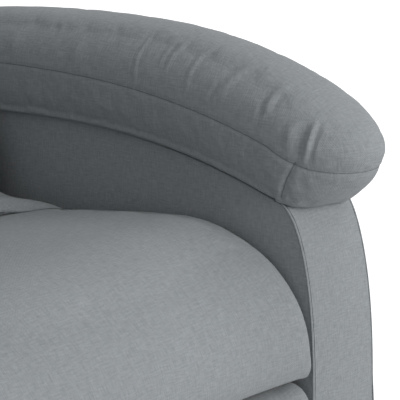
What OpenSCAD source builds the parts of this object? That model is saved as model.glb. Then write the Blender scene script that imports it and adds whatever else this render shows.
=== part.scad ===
// Lift recliner chair: padded arms, three-pillow back, folding leg rest and a
// motor-driven lift frame. Millimetres. The origin is on the floor under the
// middle of the chair, the sitter looks along -Y and +Z is up.

/* [Arm panels] */
// Clear width between the two arm panels
seat_gap_w = 590; // [500:2:620]
// Thickness of one arm panel
arm_w = 115; // [90:1:140]
// Height of the arm panels' underside above the floor
arm_bottom_z = 70; // [55:1:90]
// Height of the arm panels at their crest, under the pads
arm_top_z = 578; // [560:1:620]
// Drop of the panels' top edge from the crest to the front shoulder
arm_front_drop = 56; // [30:1:70]
// Drop of the panels' top edge from the crest to the rear
arm_rear_drop = 20; // [0:1:40]
// Distance from the centre to the panels' front face at the bottom
arm_front = 416; // [405:1:440]
// Distance from the centre to the panels' rear face
arm_rear = 290; // [280:1:300]
// Depth of the round front shoulder
shoulder_d = 60; // [40:1:80]
// Height at which the front shoulder starts to round back
knee_z = 290; // [240:1:340]

/* [Arm pads] */
// Width of one pad at its seam
pad_w = 160; // [132:1:164]
// Height of the pad's crown over the panel's crest
pad_h = 126; // [100:1:150]
// Height of the pad's side seam over the panel's crest
pad_band = 62; // [40:1:80]
// Length of the nose in front of the shoulder
pad_nose = 110; // [80:1:130]
// Rounding of the pad's rear end
pad_tail_r = 28; // [10:1:40]

/* [Seat] */
// Underside of the seat cushion
cushion_z = 325; // [321:1:335]
// Height of the seat cushion at its crown, over its underside
cushion_h = 159; // [130:1:170]
// Distance from the centre to the cushion's front edge
cushion_front = 412; // [395:1:425]
// Distance from the centre to the cushion's rear edge
cushion_rear = 130; // [110:1:135]
// Rounding of the cushion's side edges
cushion_r = 26; // [12:1:40]
// Thickness of the timber seat and back rails
timber_t = 22; // [18:1:24]
// Thickness of the zigzag spring wire
spring_wire = 3.6; // [2.5:0.1:5]
// Number of zigzag springs
spring_count = 5; // [3:1:6]

/* [Back] */
// Lean of the upright back from vertical, in degrees
back_lean = 18; // [12:1:22]
// Height of the back along its own slope, from its hinge
back_h = 757; // [701:4:801]
// Back hinge, along the chair
back_hinge_y = 183; // [176:1:186]
// Back hinge, height
back_hinge_z = 300; // [296:1:304]
// Reach of the back over the arm pads, beyond its width between them
wing_reach = 48.5; // [20:0.5:60]
// Depth of the back's timber frame
back_frame_d = 60; // [45:1:70]
// Thickness of the outside back panel
back_panel_t = 16; // [8:1:20]
// Depth of the lumbar pillow
lumbar_d = 156; // [120:1:165]
// Depth of the middle pillow
middle_d = 118; // [90:1:140]
// Depth of the head pillow
head_d = 132; // [100:1:150]

/* [Leg rest] */
// Height of the leg rest's lower edge when it is closed
leg_low_z = 88; // [80:1:100]
// Height of the leg rest's upper edge when it is closed
leg_high_z = 304; // [290:1:306]
// Thickness of the leg rest's padding
leg_pad_t = 57; // [40:1:65]
// Thickness of the leg rest's board
leg_board_t = 16; // [12:1:20]
// Distance from the centre to the back of the board
leg_board_y = 345; // [340:1:352]

/* [Lift frame] */
// Height of the feet under the base rails
foot_h = 18; // [10:1:30]
// Side of the base's square tube
base_tube = 40; // [30:1:44]
// Length of the base rails
base_l = 660; // [640:2:700]
// Wall of the square tubes
tube_wall = 2.5; // [1.5:0.1:4]
// Height of the carriage tubes' underside
carriage_z = 150; // [148:1:158]
// Side of the carriage's square tube
carriage_tube = 30; // [25:1:34]
// Thickness of the lift arms
lift_arm_t = 6; // [4:0.5:6]
// Half width of the lift arms
lift_arm_r = 14; // [11:1:16]
// Radius of the lift pins
lift_pin_r = 6; // [5:0.5:8]
// Radius of the cross tube between the front lift arms
torque_tube_r = 16; // [13:1:18]

/* [Lift geometry] */
// Front lift arm's base pivot, along the chair
front_foot_y = -262; // [-270:1:-255]
// Front lift arm's base pivot, height
front_foot_z = 90; // [86:1:94]
// Front lift arm's carriage pivot, along the chair
front_head_y = 40; // [30:1:50]
// Front lift arm's carriage pivot, height
front_head_z = 112; // [106:1:116]
// Rear lift arm's base pivot, along the chair
rear_foot_y = -222; // [-226:1:-214]
// Rear lift arm's base pivot, height
rear_foot_z = 96; // [92:1:100]
// Rear lift arm's carriage pivot, along the chair
rear_head_y = 290; // [280:1:292]
// Rear lift arm's carriage pivot, height
rear_head_z = 129; // [124:1:132]
// Play round the pin of the rear lift arm's head
head_play = 1; // [0.8:0.1:2]

/* [Actuator] */
// Actuator tail pivot, along the chair
tail_y = 170; // [160:1:180]
// Actuator tail pivot, height
tail_z = 90; // [86:1:100]
// Actuator rod pivot on the crank horn, along the chair
horn_y = -245; // [-250:1:-235]
// Actuator rod pivot on the crank horn, height
horn_z = 226; // [215:1:232]
// Radius of the actuator's outer tube
actuator_tube_r = 18; // [15:1:22]
// Radius of the actuator's rod
rod_r = 10; // [8:0.5:11]
// Radius of the motor can
motor_r = 29; // [24:1:32]
// Length of the motor can
motor_l = 92; // [70:1:110]
// Radius of the horn's pin
horn_pin_r = 5; // [4:0.5:6]
// Play round the horn's pin in the rod's eye
horn_play = 5; // [4.9:0.1:5.5]

/* [Leg rest linkage] */
// Main link's pivot on the side plate, along the chair
main_pivot_y = -262; // [-266:1:-258]
// Main link's pivot on the side plate, height
main_pivot_z = 262; // [258:1:266]
// Main link's length to the long link's pin
main_len = 130; // [126:1:132]
// Main link's tail beyond that pin
main_tail = 50; // [46:1:54]
// Direction of the main link, in degrees from +Y towards +Z
main_angle = 277; // [275:1:279]
// Long link's length from its pin to the leg rest
long_len = 185; // [180:1:188]
// Direction of the long link, in degrees from +Y towards +Z
long_angle = 108; // [107:0.5:109]
// Long link's short end, from its pin to the control link
long_short = 30; // [28:0.5:32]
// Angle between the long link's short end and its long end
long_bend = 105.5; // [104:0.5:108]
// Control link's pivot on the side plate, along the chair
control_pivot_y = -208.6; // [-212:0.2:-206]
// Control link's pivot on the side plate, height
control_pivot_z = 300; // [296:1:302]
// Control link's length
control_len = 166.2; // [165.6:0.1:166.8]
// Direction of the control link, in degrees from +Y towards +Z
control_angle = 268.1; // [267.9:0.1:268.3]
// Thickness of the links
link_t = 3; // [2:0.2:3.2]
// Half width of the links
link_r = 9; // [7:0.5:10]
// Radius of the links' pins
link_pin_r = 4; // [3:0.2:5]
// Play round the pin between the control link and the long link
control_play = 2.4; // [2.2:0.1:3]
// Thickness of the mechanism's side plates
plate_t = 4; // [3:0.2:4]

/* [Handset] */
// Height of the handset
handset_h = 140; // [110:1:150]
// Width of the handset
handset_w = 50; // [40:1:60]
// Thickness of the handset
handset_t = 14; // [11:0.5:15]
// Height of the holster round the handset's foot
holster_h = 50; // [35:1:60]
// Wall of the holster
holster_wall = 2.5; // [1.5:0.1:3]

/* [Hidden] */
$fn = 48;

// Fits
run_fit = 0.05;      // a pin in its bore
soft_fit = 0.3;      // a cushion on what carries it
slide_fit = 0.35;    // a runner in its track
link_gap = 0.4;      // between two neighbouring links
arm_gap = 2;         // between a lift arm and the bracket beside it
panel_gap = 3.1;     // between the outermost link and the arm panel
pad_gap = 2;         // between an arm pad and the back
pin_head_t = 1.2;    // head of a link pin
pin_head_gap = 0.1;  // between that head and its link

// Planes across the chair. The back is as wide as the mechanism beside it and
// the overhang of the arm pads allow.
inner_x = seat_gap_w / 2;
outer_x = inner_x + arm_w;
hinge_arm_t = 4.1;                              // steel arms of the back's hinge
cover_t = 2;                                    // cloth over the back's frame
mechanism_w = hinge_arm_t + link_gap + plate_t + 4 * (link_gap + link_t)
    + pin_head_gap + pin_head_t + panel_gap;
side_room = max(mechanism_w - cover_t, (pad_w - arm_w) / 2 + pad_gap);
back_w = 2 * (inner_x - side_room);             // between the arm pads
wing_w = back_w + 2 * wing_reach;               // above the arm pads
plate_x = back_w / 2 - cover_t + hinge_arm_t + link_gap; // inner face of the side plates
layer_1 = plate_x + plate_t + link_gap;         // parallel links
layer_2 = layer_1 + link_t + link_gap;          // main links and leg rest brackets
layer_3 = layer_2 + link_t + link_gap;          // long links
layer_4 = layer_3 + link_t + link_gap;          // control links
bracket_t = 5;
bracket_x = plate_x - bracket_t - 13;           // inner face of the lift brackets
front_arm_x = bracket_x - arm_gap - lift_arm_t; // inner face of the front lift arms
rear_arm_x = bracket_x + bracket_t + arm_gap;   // inner face of the rear lift arms
base_x = bracket_x + bracket_t - 11;            // middle of the base rails
carriage_x = bracket_x + bracket_t - 10;        // middle of the carriage rails
timber_x = plate_x - timber_t;                  // inner face of the timber side rails

// Points in the side view, [along the chair, height]
front_foot = [front_foot_y, front_foot_z];
front_head = [front_head_y, front_head_z];
rear_foot = [rear_foot_y, rear_foot_z];
rear_head = [rear_head_y, rear_head_z];
tail_point = [tail_y, tail_z];
horn_point = [horn_y, horn_z];
main_pivot = [main_pivot_y, main_pivot_z];
control_pivot = [control_pivot_y, control_pivot_z];
function polar(r, a) = [r * cos(a), r * sin(a)];
long_pin = main_pivot + polar(main_len, main_angle);
tail_pin = long_pin + polar(main_tail, main_angle);
rest_pin = long_pin + polar(long_len, long_angle);
parallel_pin = rest_pin + polar(main_tail, main_angle);
control_pin = long_pin + polar(long_short, long_angle - long_bend);
control_eye = control_pivot + polar(control_len, control_angle);
back_hinge = [back_hinge_y, back_hinge_z];

base_z = foot_h;
base_top = foot_h + base_tube;
carriage_top = carriage_z + carriage_tube;
carriage_front = -315;
carriage_rear = rear_head_y + lift_arm_r + 1;

// Helpers -------------------------------------------------------------------

// Extrudes a side view, [along the chair, height], from x0 to x1
module side(x0, x1) {
    translate([x0, 0, 0])
        rotate([90, 0, 90])
            linear_extrude(x1 - x0)
                children();
}

// Draws its children on both sides of the chair
module both() {
    children();
    mirror([1, 0, 0]) children();
}

// Draws its children on the left, the sitter's left, or mirrored on the right
module on(left) {
    if (left) children();
    else mirror([1, 0, 0]) children();
}

// A pin along X
module pin(x0, x1, p, r) {
    side(x0, x1) translate(p) circle(r = r);
}

// A pin with a round head beyond its far end, x1
module headed_pin(x0, x1, p, r, head_t) {
    pin(x0, x1, p, r);
    pin(x1, x1 + head_t, p, r * 1.6);
}

// A flat bar with round ends between two points of the side view
module bar(a, b, r) {
    run = b - a;
    turn = atan2(run.y, run.x);
    translate(a) rotate(turn) {
        translate([0, -r]) square([norm(run), 2 * r]);
        circle(r = r);
        translate([norm(run), 0]) circle(r = r);
    }
}

// A round hole in a side view
module hole(p, r) {
    translate(p) circle(r = r);
}

// Square tube: outline of its section, centred
module tube_section(s) {
    difference() {
        square(s, center = true);
        square(s - 2 * tube_wall, center = true);
    }
}

// A closed skin through rings of points, with flat ends
module loft(rings) {
    n = len(rings[0]);
    m = len(rings);
    sides = [for (i = [0:m - 2]) for (j = [0:n - 1])
        let (a = i * n + j, b = i * n + (j + 1) % n)
        each [[a, b, b + n], [a, b + n, a + n]]];
    caps = [[for (j = [n - 1:-1:0]) j], [for (j = [0:n - 1]) (m - 1) * n + j]];
    polyhedron([for (r = rings) each r], concat(sides, caps));
}

// Signed power, for superellipse arcs
function spow(v, e) = sign(v) * pow(abs(v), e);

// Stations across a cushion: [x, inset] with its side edges rounded by r
function cushion_stations(half_w, r, spans) = concat(
    [for (b = [90:-22.5:22.5]) [-(half_w - r + r * sin(b)), r * (1 - cos(b))]],
    [for (i = [0:spans]) [(half_w - r) * (2 * i / spans - 1), 0]],
    [for (b = [22.5:22.5:90]) [half_w - r + r * sin(b), r * (1 - cos(b))]]);

// A cushion from its side outline [u, v]. It is drawn in about the point root by
// the inset of each station and swells by the share crown in the middle.
module cushion(outline, root, reach, half_w, r, spans, crown) {
    loft([for (s = cushion_stations(half_w, r, spans))
        let (swell = 1 - pow(s[0] / half_w, 2),
             ku = (1 - s[1] / reach[0]) * (1 + crown[0] * swell),
             kv = (1 - s[1] / reach[1]) * (1 + crown[1] * swell))
        [for (p = outline) [s[0], root[0] + (p[0] - root[0]) * ku, root[1] + (p[1] - root[1]) * kv]]]);
}

// Side outline of a pillow with a flat back at u = 0 that swells towards -u;
// low moves the swell down
function pillow_outline(d, half_h, n, low, steps) = [for (i = [0:steps])
    let (a = 180 * i / steps - 90)
    [-d * spow(cos(a), 2 / n) * (1 - low * sin(a)), half_h * spow(sin(a), 2 / n)]];

// Base ----------------------------------------------------------------------

module base_rail(left) {
    color("#26282b") on(left)
        translate([base_x, base_l / 2, base_z + base_tube / 2])
            rotate([90, 0, 0])
                linear_extrude(base_l) tube_section(base_tube);
}
module base_rail_left() { base_rail(true); }
module base_rail_right() { base_rail(false); }

// A cross tube between the base rails, centred at y
module base_cross(y) {
    reach = base_x - base_tube / 2;
    color("#26282b")
        translate([-reach, y, base_z + base_tube / 2])
            rotate([90, 0, 90])
                linear_extrude(2 * reach) tube_section(base_tube);
}
module base_cross_front() { base_cross(base_tube * 0.75 - base_l / 2); }
module base_cross_rear() { base_cross(tail_y); }

// Plastic plugs in the four open ends of the base rails
module base_end_caps() {
    lip = 4;
    plug = 14;
    color("#151515") both() for (end = [-1, 1])
        translate([base_x, 0, base_z + base_tube / 2])
            rotate([0, 0, end < 0 ? 180 : 0]) {
                translate([-base_tube / 2, base_l / 2, -base_tube / 2])
                    cube([base_tube, lip, base_tube]);
                inside = base_tube - 2 * tube_wall - 0.4;
                translate([-inside / 2, base_l / 2 - plug, -inside / 2])
                    cube([inside, plug, inside]);
            }
}

// Round feet with a screw collar, under both ends of each rail
foot_r = 24;
foot_y = base_l / 2 - base_tube;
module base_feet() {
    color("#101010") both() for (y = [-foot_y, foot_y])
        translate([base_x, y, 0]) {
            cylinder(r = foot_r, h = foot_h * 0.55);
            cylinder(r = foot_r * 0.55, h = foot_h);
        }
}

// Side plates on the base rails that carry both pairs of lift arms
module lift_brackets() {
    ear = 16;
    color("#33363a") both() {
        difference() {
            side(bracket_x, bracket_x + bracket_t) {
                bar(front_foot, rear_foot, ear);
                polygon([[front_foot_y - ear + 2, base_top], [rear_foot_y + ear - 2, base_top],
                         rear_foot + [ear - 2, 0], front_foot - [ear - 2, 0]]);
            }
            side(bracket_x - 1, bracket_x + bracket_t + 1)
                hole([(front_foot_y + rear_foot_y) / 2, base_top + 14], 5);
        }
        pin(front_arm_x - 22, bracket_x, front_foot, lift_pin_r);
        headed_pin(bracket_x, rear_arm_x + lift_arm_t + 0.5, rear_foot, lift_pin_r, 2);
    }
}

// Two ears on the rear cross tube that hold the actuator's tail
clevis_gap = 30;
clevis_t = 5;
module actuator_clevis() {
    ear = 15;
    color("#33363a") {
        both() side(clevis_gap / 2, clevis_gap / 2 + clevis_t) {
            hole(tail_point, ear);
            translate([tail_y - ear, base_top]) square([2 * ear, tail_z - base_top]);
        }
        pin(-clevis_gap / 2 - clevis_t - 3, clevis_gap / 2 + clevis_t + 3, tail_point, lift_pin_r);
    }
}

// Control box with the power inlet, on the rear cross tube
module control_box() {
    box = [96, 60, 30];
    beside = 14;                 // from the clevis to the box
    left_end = -clevis_gap / 2 - clevis_t - beside - box.x;
    inlet_r = 4;
    inlet_wall = 4;
    spout = 6;
    deep = 14;
    vent_w = 3;
    vent_margin = 12;
    color("#1d1e20") difference() {
        union() {
            translate([left_end, tail_y - box.y / 2, base_top]) cube(box);
            translate([left_end + box.x * 0.7, tail_y + box.y / 2 + spout, base_top + box.z / 2])
                rotate([90, 0, 0]) cylinder(r = inlet_r + inlet_wall, h = spout);
        }
        translate([left_end + box.x * 0.7, tail_y + box.y / 2 + spout + 1, base_top + box.z / 2])
            rotate([90, 0, 0]) cylinder(r = inlet_r, h = deep + 1);
        for (i = [0:4])
            translate([left_end + vent_margin + i * box.x / 12, tail_y - box.y / 2 + vent_margin,
                       base_top + box.z - vent_w / 2])
                cube([vent_w, box.y - 2 * vent_margin, vent_w]);
    }
}

// Lift arms -----------------------------------------------------------------

module front_lift_arm(left) {
    color("#3b3e43") on(left) difference() {
        side(front_arm_x, front_arm_x + lift_arm_t) difference() {
            bar(front_foot, front_head, lift_arm_r);
            hole(front_foot, lift_pin_r + run_fit);
            hole(front_head, lift_pin_r + run_fit);
            for (k = [0.3, 0.5, 0.7]) hole(front_foot * (1 - k) + front_head * k, 5);
        }
    }
}
module front_lift_arm_left() { front_lift_arm(true); }
module front_lift_arm_right() { front_lift_arm(false); }

// Cross tube between the front lift arms, with the crank horn that the
// actuator pushes
horn_t = 8;
horn_gap = 24;
eye_r = horn_pin_r + horn_play + 4;
module torque_tube() {
    color("#3b3e43") {
        difference() {
            pin(-front_arm_x, front_arm_x, front_foot, torque_tube_r);
            both() pin(front_arm_x - 24, front_arm_x + 1, front_foot, lift_pin_r + run_fit);
        }
        both() side(horn_gap / 2, horn_gap / 2 + horn_t) difference() {
            union() {
                bar(front_foot, horn_point, 11);
                hole(front_foot, torque_tube_r + 6);
            }
            hole(front_foot, torque_tube_r - 0.5);
        }
        pin(-horn_gap / 2 - horn_t, horn_gap / 2 + horn_t, horn_point, horn_pin_r);
    }
}

module rear_lift_arm(left) {
    color("#3b3e43") on(left)
        side(rear_arm_x, rear_arm_x + lift_arm_t) difference() {
            bar(rear_foot, rear_head, lift_arm_r);
            hole(rear_foot, lift_pin_r + run_fit);
            hole(rear_head, lift_pin_r + head_play);
            for (k = [0.2, 0.4, 0.6, 0.8]) hole(rear_foot * (1 - k) + rear_head * k, 5);
        }
}
module rear_lift_arm_left() { rear_lift_arm(true); }
module rear_lift_arm_right() { rear_lift_arm(false); }

// Carriage ------------------------------------------------------------------

module carriage_rail(left) {
    color("#2e3135") on(left)
        translate([carriage_x, carriage_rear, carriage_z + carriage_tube / 2])
            rotate([90, 0, 0])
                linear_extrude(carriage_rear - carriage_front) tube_section(carriage_tube);
}
module carriage_rail_left() { carriage_rail(true); }
module carriage_rail_right() { carriage_rail(false); }

// A cross tube between the carriage rails from y0 to y1
module carriage_cross(y0, y1) {
    reach = carriage_x - carriage_tube / 2;
    color("#2e3135") side(-reach, reach) translate([y0, carriage_z]) difference() {
        square([y1 - y0, carriage_tube]);
        translate([tube_wall, tube_wall])
            square([y1 - y0 - 2 * tube_wall, carriage_tube - 2 * tube_wall]);
    }
}
module carriage_cross_front() { carriage_cross(carriage_front, carriage_front + 24); }
module carriage_cross_rear() {
    end = rear_head_y - 2 * lift_arm_r;
    carriage_cross(end - carriage_tube, end);
}

// Ears under the carriage rails with the lift arms' head pins
module carriage_brackets() {
    color("#33363a") both() {
        for (p = [front_head, rear_head])
            side(bracket_x, bracket_x + bracket_t) {
                hole(p, lift_arm_r);
                translate([p.x - lift_arm_r, p.y])
                    square([2 * lift_arm_r, carriage_z - p.y]);
            }
        pin(front_arm_x - 0.5, bracket_x, front_head, lift_pin_r);
        pin(front_arm_x - 2.5, front_arm_x - 0.5, front_head, lift_pin_r * 1.6);
        headed_pin(bracket_x, rear_arm_x + lift_arm_t + 0.5, rear_head, lift_pin_r, 2);
    }
}

// Slide tracks for the seat, on the carriage rails
track_x = plate_x - 13;
track_w = 26;
track_h = 26;
track_wall = 4;
track_slot = 8;
track_front = -290;
track_rear = 200;
module glide_tracks() {
    color("#8d9196") both()
        translate([track_x, track_rear, carriage_top])
            rotate([90, 0, 0])
                linear_extrude(track_rear - track_front) difference() {
                    translate([-track_w / 2, 0]) square([track_w, track_h]);
                    translate([-track_w / 2 + track_wall, track_wall])
                        square([track_w - 2 * track_wall, track_h - 2 * track_wall]);
                    translate([-track_slot / 2, track_wall]) square([track_slot, track_h]);
                }
}

// Angles that bolt the arm panels to the carriage
arm_bracket_y = -70;
module arm_brackets() {
    width = 50;
    steel = 4;
    up = 60;
    rear_setback = 75;
    rail_face = carriage_x + carriage_tube / 2;
    color("#33363a") both() for (y = [arm_bracket_y, rear_head_y - rear_setback]) {
        translate([rail_face, y, carriage_top - steel])
            cube([inner_x - rail_face, width, steel]);
        difference() {
            translate([inner_x - steel, y, carriage_top - steel]) cube([steel, width, up]);
            for (k = [0.3, 0.7])
                translate([inner_x - steel - 1, y + width * k, carriage_top + up * 0.6])
                    rotate([0, 90, 0]) cylinder(r = 4.2, h = steel + 2);
        }
        for (k = [0.3, 0.7])
            translate([inner_x - steel - 3, y + width * k, carriage_top + up * 0.6])
                rotate([0, 90, 0]) cylinder(r = 7, h = 3, $fn = 6);
    }
}

// Arms ----------------------------------------------------------------------

crest_y = 10;
shoulder_y = -(arm_front - 6 - shoulder_d);
tail_end_y = arm_rear - pad_tail_r;

// Height of the panel's top edge
function crease_z(y) = y < crest_y
    ? arm_top_z - arm_front_drop * pow((crest_y - y) / (crest_y - shoulder_y), 2.2)
    : arm_top_z - arm_rear_drop * pow((y - crest_y) / (arm_rear - crest_y), 2);

// Stations from the shoulder back to where the pad's rear end rounds off
arm_ys = [for (i = [0:13]) shoulder_y + (tail_end_y - shoulder_y) * i / 13];

// The panel seen from the side: a superellipse shoulder between the front face
// and the top edge
arm_outline = concat(
    [[arm_rear, crease_z(arm_rear)], [arm_rear, arm_bottom_z], [-arm_front, arm_bottom_z]],
    [for (a = [0:9:90])
        [shoulder_y - shoulder_d * spow(cos(a), 2 / 2.2),
         knee_z + (crease_z(shoulder_y) - knee_z) * spow(sin(a), 2 / 2.2)]],
    [for (i = [1:len(arm_ys) - 1]) [arm_ys[i], crease_z(arm_ys[i])]]);

module arm_body(left) {
    color("#7d8184") on(left) side(inner_x, outer_x) polygon(arm_outline);
}
module arm_body_left() { arm_body(true); }
module arm_body_right() { arm_body(false); }

// Pad heights along the arm: crown and side seam
pad_crest_y = -70;
function pad_top_z(y) = arm_top_z + pad_h
    - (y < pad_crest_y ? 41 * pow((pad_crest_y - y) / (pad_crest_y - shoulder_y), 2.6)
                       : 36 * pow((y - pad_crest_y) / (arm_rear - pad_crest_y), 1.8));
function seam_z(y) = arm_top_z + pad_band
    - (y < 0 ? 43 * pow(y / shoulder_y, 2) : 18 * pow(y / arm_rear, 2));

// Pad sections [y, bottom, seam, top, half width at the seam, half width at the bottom]
nose_fall = [0.39, 0.25];   // slopes of the crown and the seam where the nose starts
function nose_reach(a) = pad_nose * sin(a) / sin(86);
function nose_seam(a) = seam_z(shoulder_y) - nose_fall[1] * nose_reach(a);
function nose_top(a) = pad_top_z(shoulder_y) - nose_fall[0] * nose_reach(a);
function nose_low(a) = crease_z(shoulder_y) - 6 * sin(2 * a);
pad_sections = concat(
    [for (a = [90, 60, 30])
        let (in = pad_tail_r * (1 - cos(a)), y = tail_end_y + pad_tail_r * sin(a))
        [y, crease_z(y) + in * 0.3, seam_z(y), pad_top_z(y) - in, pad_w / 2 - in, arm_w / 2 - in]],
    [for (i = [len(arm_ys) - 1:-1:0])
        let (y = arm_ys[i])
        [y, crease_z(y), seam_z(y), pad_top_z(y), pad_w / 2, arm_w / 2]],
    [for (a = [12, 24, 35, 45, 54, 62, 69, 75, 81, 86])
        let (k = sqrt(cos(a)), mid = nose_seam(a))
        [shoulder_y - nose_reach(a), mid - (mid - nose_low(a)) * k, mid, mid + (nose_top(a) - mid) * k,
         pad_w / 2 * cos(a), arm_w / 2 * cos(a)]]);

// The nose bulges above its seam and is tucked back below it
tuck_depth = 21;
tuck_above = 22; // starts this far above the seam
tuck_h = 42;     // height over which it grows
function tuck(y, seam, z) = let (reach = max(0, (shoulder_y - y) / pad_nose))
    tuck_depth * pow(reach, 0.8) * sin(90 * min(1, max(0, (seam + tuck_above - z) / tuck_h)));
function tucked(s, x, z) = [x, s[0] + tuck(s[0], s[2], z), z];

function pad_ring(s) = concat(
    [for (a = [180:-15:0])
        tucked(s, s[4] * spow(cos(a), 2 / 2.3), s[2] + (s[3] - s[2]) * spow(sin(a), 2 / 2.3))],
    [for (a = [22.5:22.5:90])
        tucked(s, s[5] + (s[4] - s[5]) * cos(a), s[2] - (s[2] - s[1]) * sin(a))],
    [for (a = [90:-22.5:22.5])
        tucked(s, -(s[5] + (s[4] - s[5]) * cos(a)), s[2] - (s[2] - s[1]) * sin(a))]);

module arm_pad(left) {
    color("#74787b") on(left)
        translate([inner_x + arm_w / 2, 0, soft_fit])
            loft([for (s = pad_sections) pad_ring(s)]);
}
module arm_pad_left() { arm_pad(true); }
module arm_pad_right() { arm_pad(false); }

// Board across the rear of the carriage that hides the lift frame
valance_t = 12;
module rear_valance() {
    side_gap = 4;
    low = arm_bottom_z + 14;
    color("#6c7073")
        translate([-inner_x + side_gap, carriage_rear, low])
            cube([2 * (inner_x - side_gap), valance_t, back_hinge_z - low]);
}

// Holster on the outer face of the right arm for the handset
handset_y = -190;
handset_z = 352;
holster_in = handset_t + 1;
module handset_holster() {
    color("#202224") translate([-outer_x, handset_y, handset_z]) difference() {
        translate([-holster_in - holster_wall, -handset_w / 2 - 0.5 - holster_wall, -holster_wall])
            cube([holster_in + holster_wall, handset_w + 1 + 2 * holster_wall,
                  holster_h + holster_wall]);
        translate([-holster_in, -handset_w / 2 - 0.5, 0])
            cube([holster_in + 1, handset_w + 1, holster_h + 1]);
        translate([-holster_in - holster_wall - 1, -handset_w / 4, holster_h * 0.4])
            cube([holster_wall + 2, handset_w / 2, holster_h]);
    }
}

// Actuator ------------------------------------------------------------------

stroke_run = horn_point - tail_point;
stroke_turn = atan2(stroke_run.y, stroke_run.x);
actuator_l = norm(stroke_run);
gear_l = 96;
tube_end = gear_l + 236;
rod_start = gear_l + 114;

// Places its children with +X along the actuator and the tail pivot at the origin
module on_actuator() {
    translate([0, tail_y, tail_z])
        rotate([stroke_turn, 0, 0])
            rotate([0, 0, 90])
                children();
}

// Gearbox and motor can
module actuator_housing() {
    eye = 14;
    color("#1b1c1e") difference() {
        on_actuator() {
            translate([0, clevis_gap / 2 - 1, 0]) rotate([90, 0, 0])
                cylinder(r = eye, h = clevis_gap - 2);
            translate([0, -clevis_gap / 2 + 1, -eye]) cube([24, clevis_gap - 2, 2 * eye]);
            translate([20, -24, -22]) cube([gear_l - 20, 48, 44]);
            translate([gear_l / 2 + 8, -24, 0]) rotate([90, 0, 0])
                cylinder(r = motor_r, h = motor_l);
            translate([gear_l / 2 + 8, -24 - motor_l, 0]) rotate([90, 0, 0])
                cylinder(r = motor_r * 0.8, h = 5);
        }
        pin(-clevis_gap, clevis_gap, tail_point, lift_pin_r + run_fit);
    }
}

// Outer tube with a front guide ring that the rod runs through
module actuator_tube() {
    guide = 12;
    root = 12;
    wall = 3;
    color("#a7abb0") on_actuator() difference() {
        union() {
            translate([gear_l, 0, 0]) rotate([0, 90, 0])
                cylinder(r = actuator_tube_r, h = tube_end - gear_l);
            translate([tube_end - guide, 0, 0]) rotate([0, 90, 0])
                cylinder(r = actuator_tube_r + 2, h = guide);
        }
        translate([gear_l + root, 0, 0]) rotate([0, 90, 0])
            cylinder(r = actuator_tube_r - wall, h = tube_end - guide - gear_l - root);
        translate([gear_l + root, 0, 0]) rotate([0, 90, 0])
            cylinder(r = rod_r + run_fit, h = tube_end - gear_l);
    }
}

// Rod with the eye that takes the horn's pin
module actuator_rod() {
    eye_w = horn_gap - 2;
    color("#c9cdd1") on_actuator() difference() {
        union() {
            translate([rod_start, 0, 0]) rotate([0, 90, 0])
                cylinder(r = rod_r, h = actuator_l - rod_start - eye_r + 3);
            translate([actuator_l, eye_w / 2, 0]) rotate([90, 0, 0])
                cylinder(r = eye_r, h = eye_w);
        }
        translate([actuator_l, eye_w, 0]) rotate([90, 0, 0])
            cylinder(r = horn_pin_r + horn_play, h = 2 * eye_w);
    }
}

// Seat ----------------------------------------------------------------------

timber_top = cushion_z - spring_wire - 2 * soft_fit;
timber_h = 80;
seat_timber_front = -330;
seat_timber_rear = 150;

module seat_rail(left) {
    color("#b98f5c") on(left)
        translate([timber_x, seat_timber_front, timber_top - timber_h])
            cube([timber_t, seat_timber_rear - seat_timber_front, timber_h]);
}
module seat_rail_left() { seat_rail(true); }
module seat_rail_right() { seat_rail(false); }

module seat_rail_front() {
    front_h = 40;
    color("#b98f5c")
        translate([-timber_x, seat_timber_front, timber_top - front_h])
            cube([2 * timber_x, timber_t, front_h]);
}
module seat_rail_rear() {
    color("#b98f5c")
        translate([-timber_x, seat_timber_rear - timber_t, timber_top - timber_h])
            cube([2 * timber_x, timber_t, timber_h]);
}

// One zigzag spring in plan: bends of radius r joined by straight wires
module zigzag(length, r, half_w, wire) {
    bends = 2 * floor(length / (4 * r));
    for (i = [0:bends - 1]) {
        end = i % 2 == 0 ? 1 : -1;
        translate([end * (half_w - r), (2 * i + 1) * r]) difference() {
            circle(r = r + wire / 2);
            circle(r = r - wire / 2);
            translate([end > 0 ? -2 * r : 0, -2 * r]) square([2 * r, 4 * r]);
        }
    }
    for (i = [0:bends])
        translate([-half_w + r, 2 * i * r - wire / 2])
            square([2 * (half_w - r), wire]);
}

// Zigzag springs from the front rail to the rear rail
module seat_springs() {
    pitch = 2 * timber_x / spring_count;
    length = seat_timber_rear - seat_timber_front - timber_t;
    bend_r = 11;
    color("#5d6165")
        for (i = [0:spring_count - 1])
            translate([-timber_x + pitch * (i + 0.5), seat_timber_front + timber_t / 2,
                       timber_top + soft_fit])
                linear_extrude(spring_wire) zigzag(length, bend_r, pitch * 0.3, spring_wire);
}

// T-shaped runners under the timber side rails
module seat_runners() {
    stem = track_slot - 2 * slide_fit;
    head_w = track_w - 2 * track_wall - 2 * slide_fit;
    head_h = track_h - 2 * track_wall - 2 * slide_fit;
    runner_l = 60;
    front_inset = 55;
    rear_inset = 130;
    color("#c4c7ca") both() for (y = [track_front + front_inset, track_rear - rear_inset])
        translate([track_x, y + runner_l, carriage_top]) rotate([90, 0, 0]) linear_extrude(runner_l) {
            translate([-head_w / 2, track_wall + slide_fit]) square([head_w, head_h]);
            translate([-stem / 2, track_wall + slide_fit])
                square([stem, timber_top - timber_h - carriage_top - track_wall - slide_fit]);
        }
}

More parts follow.
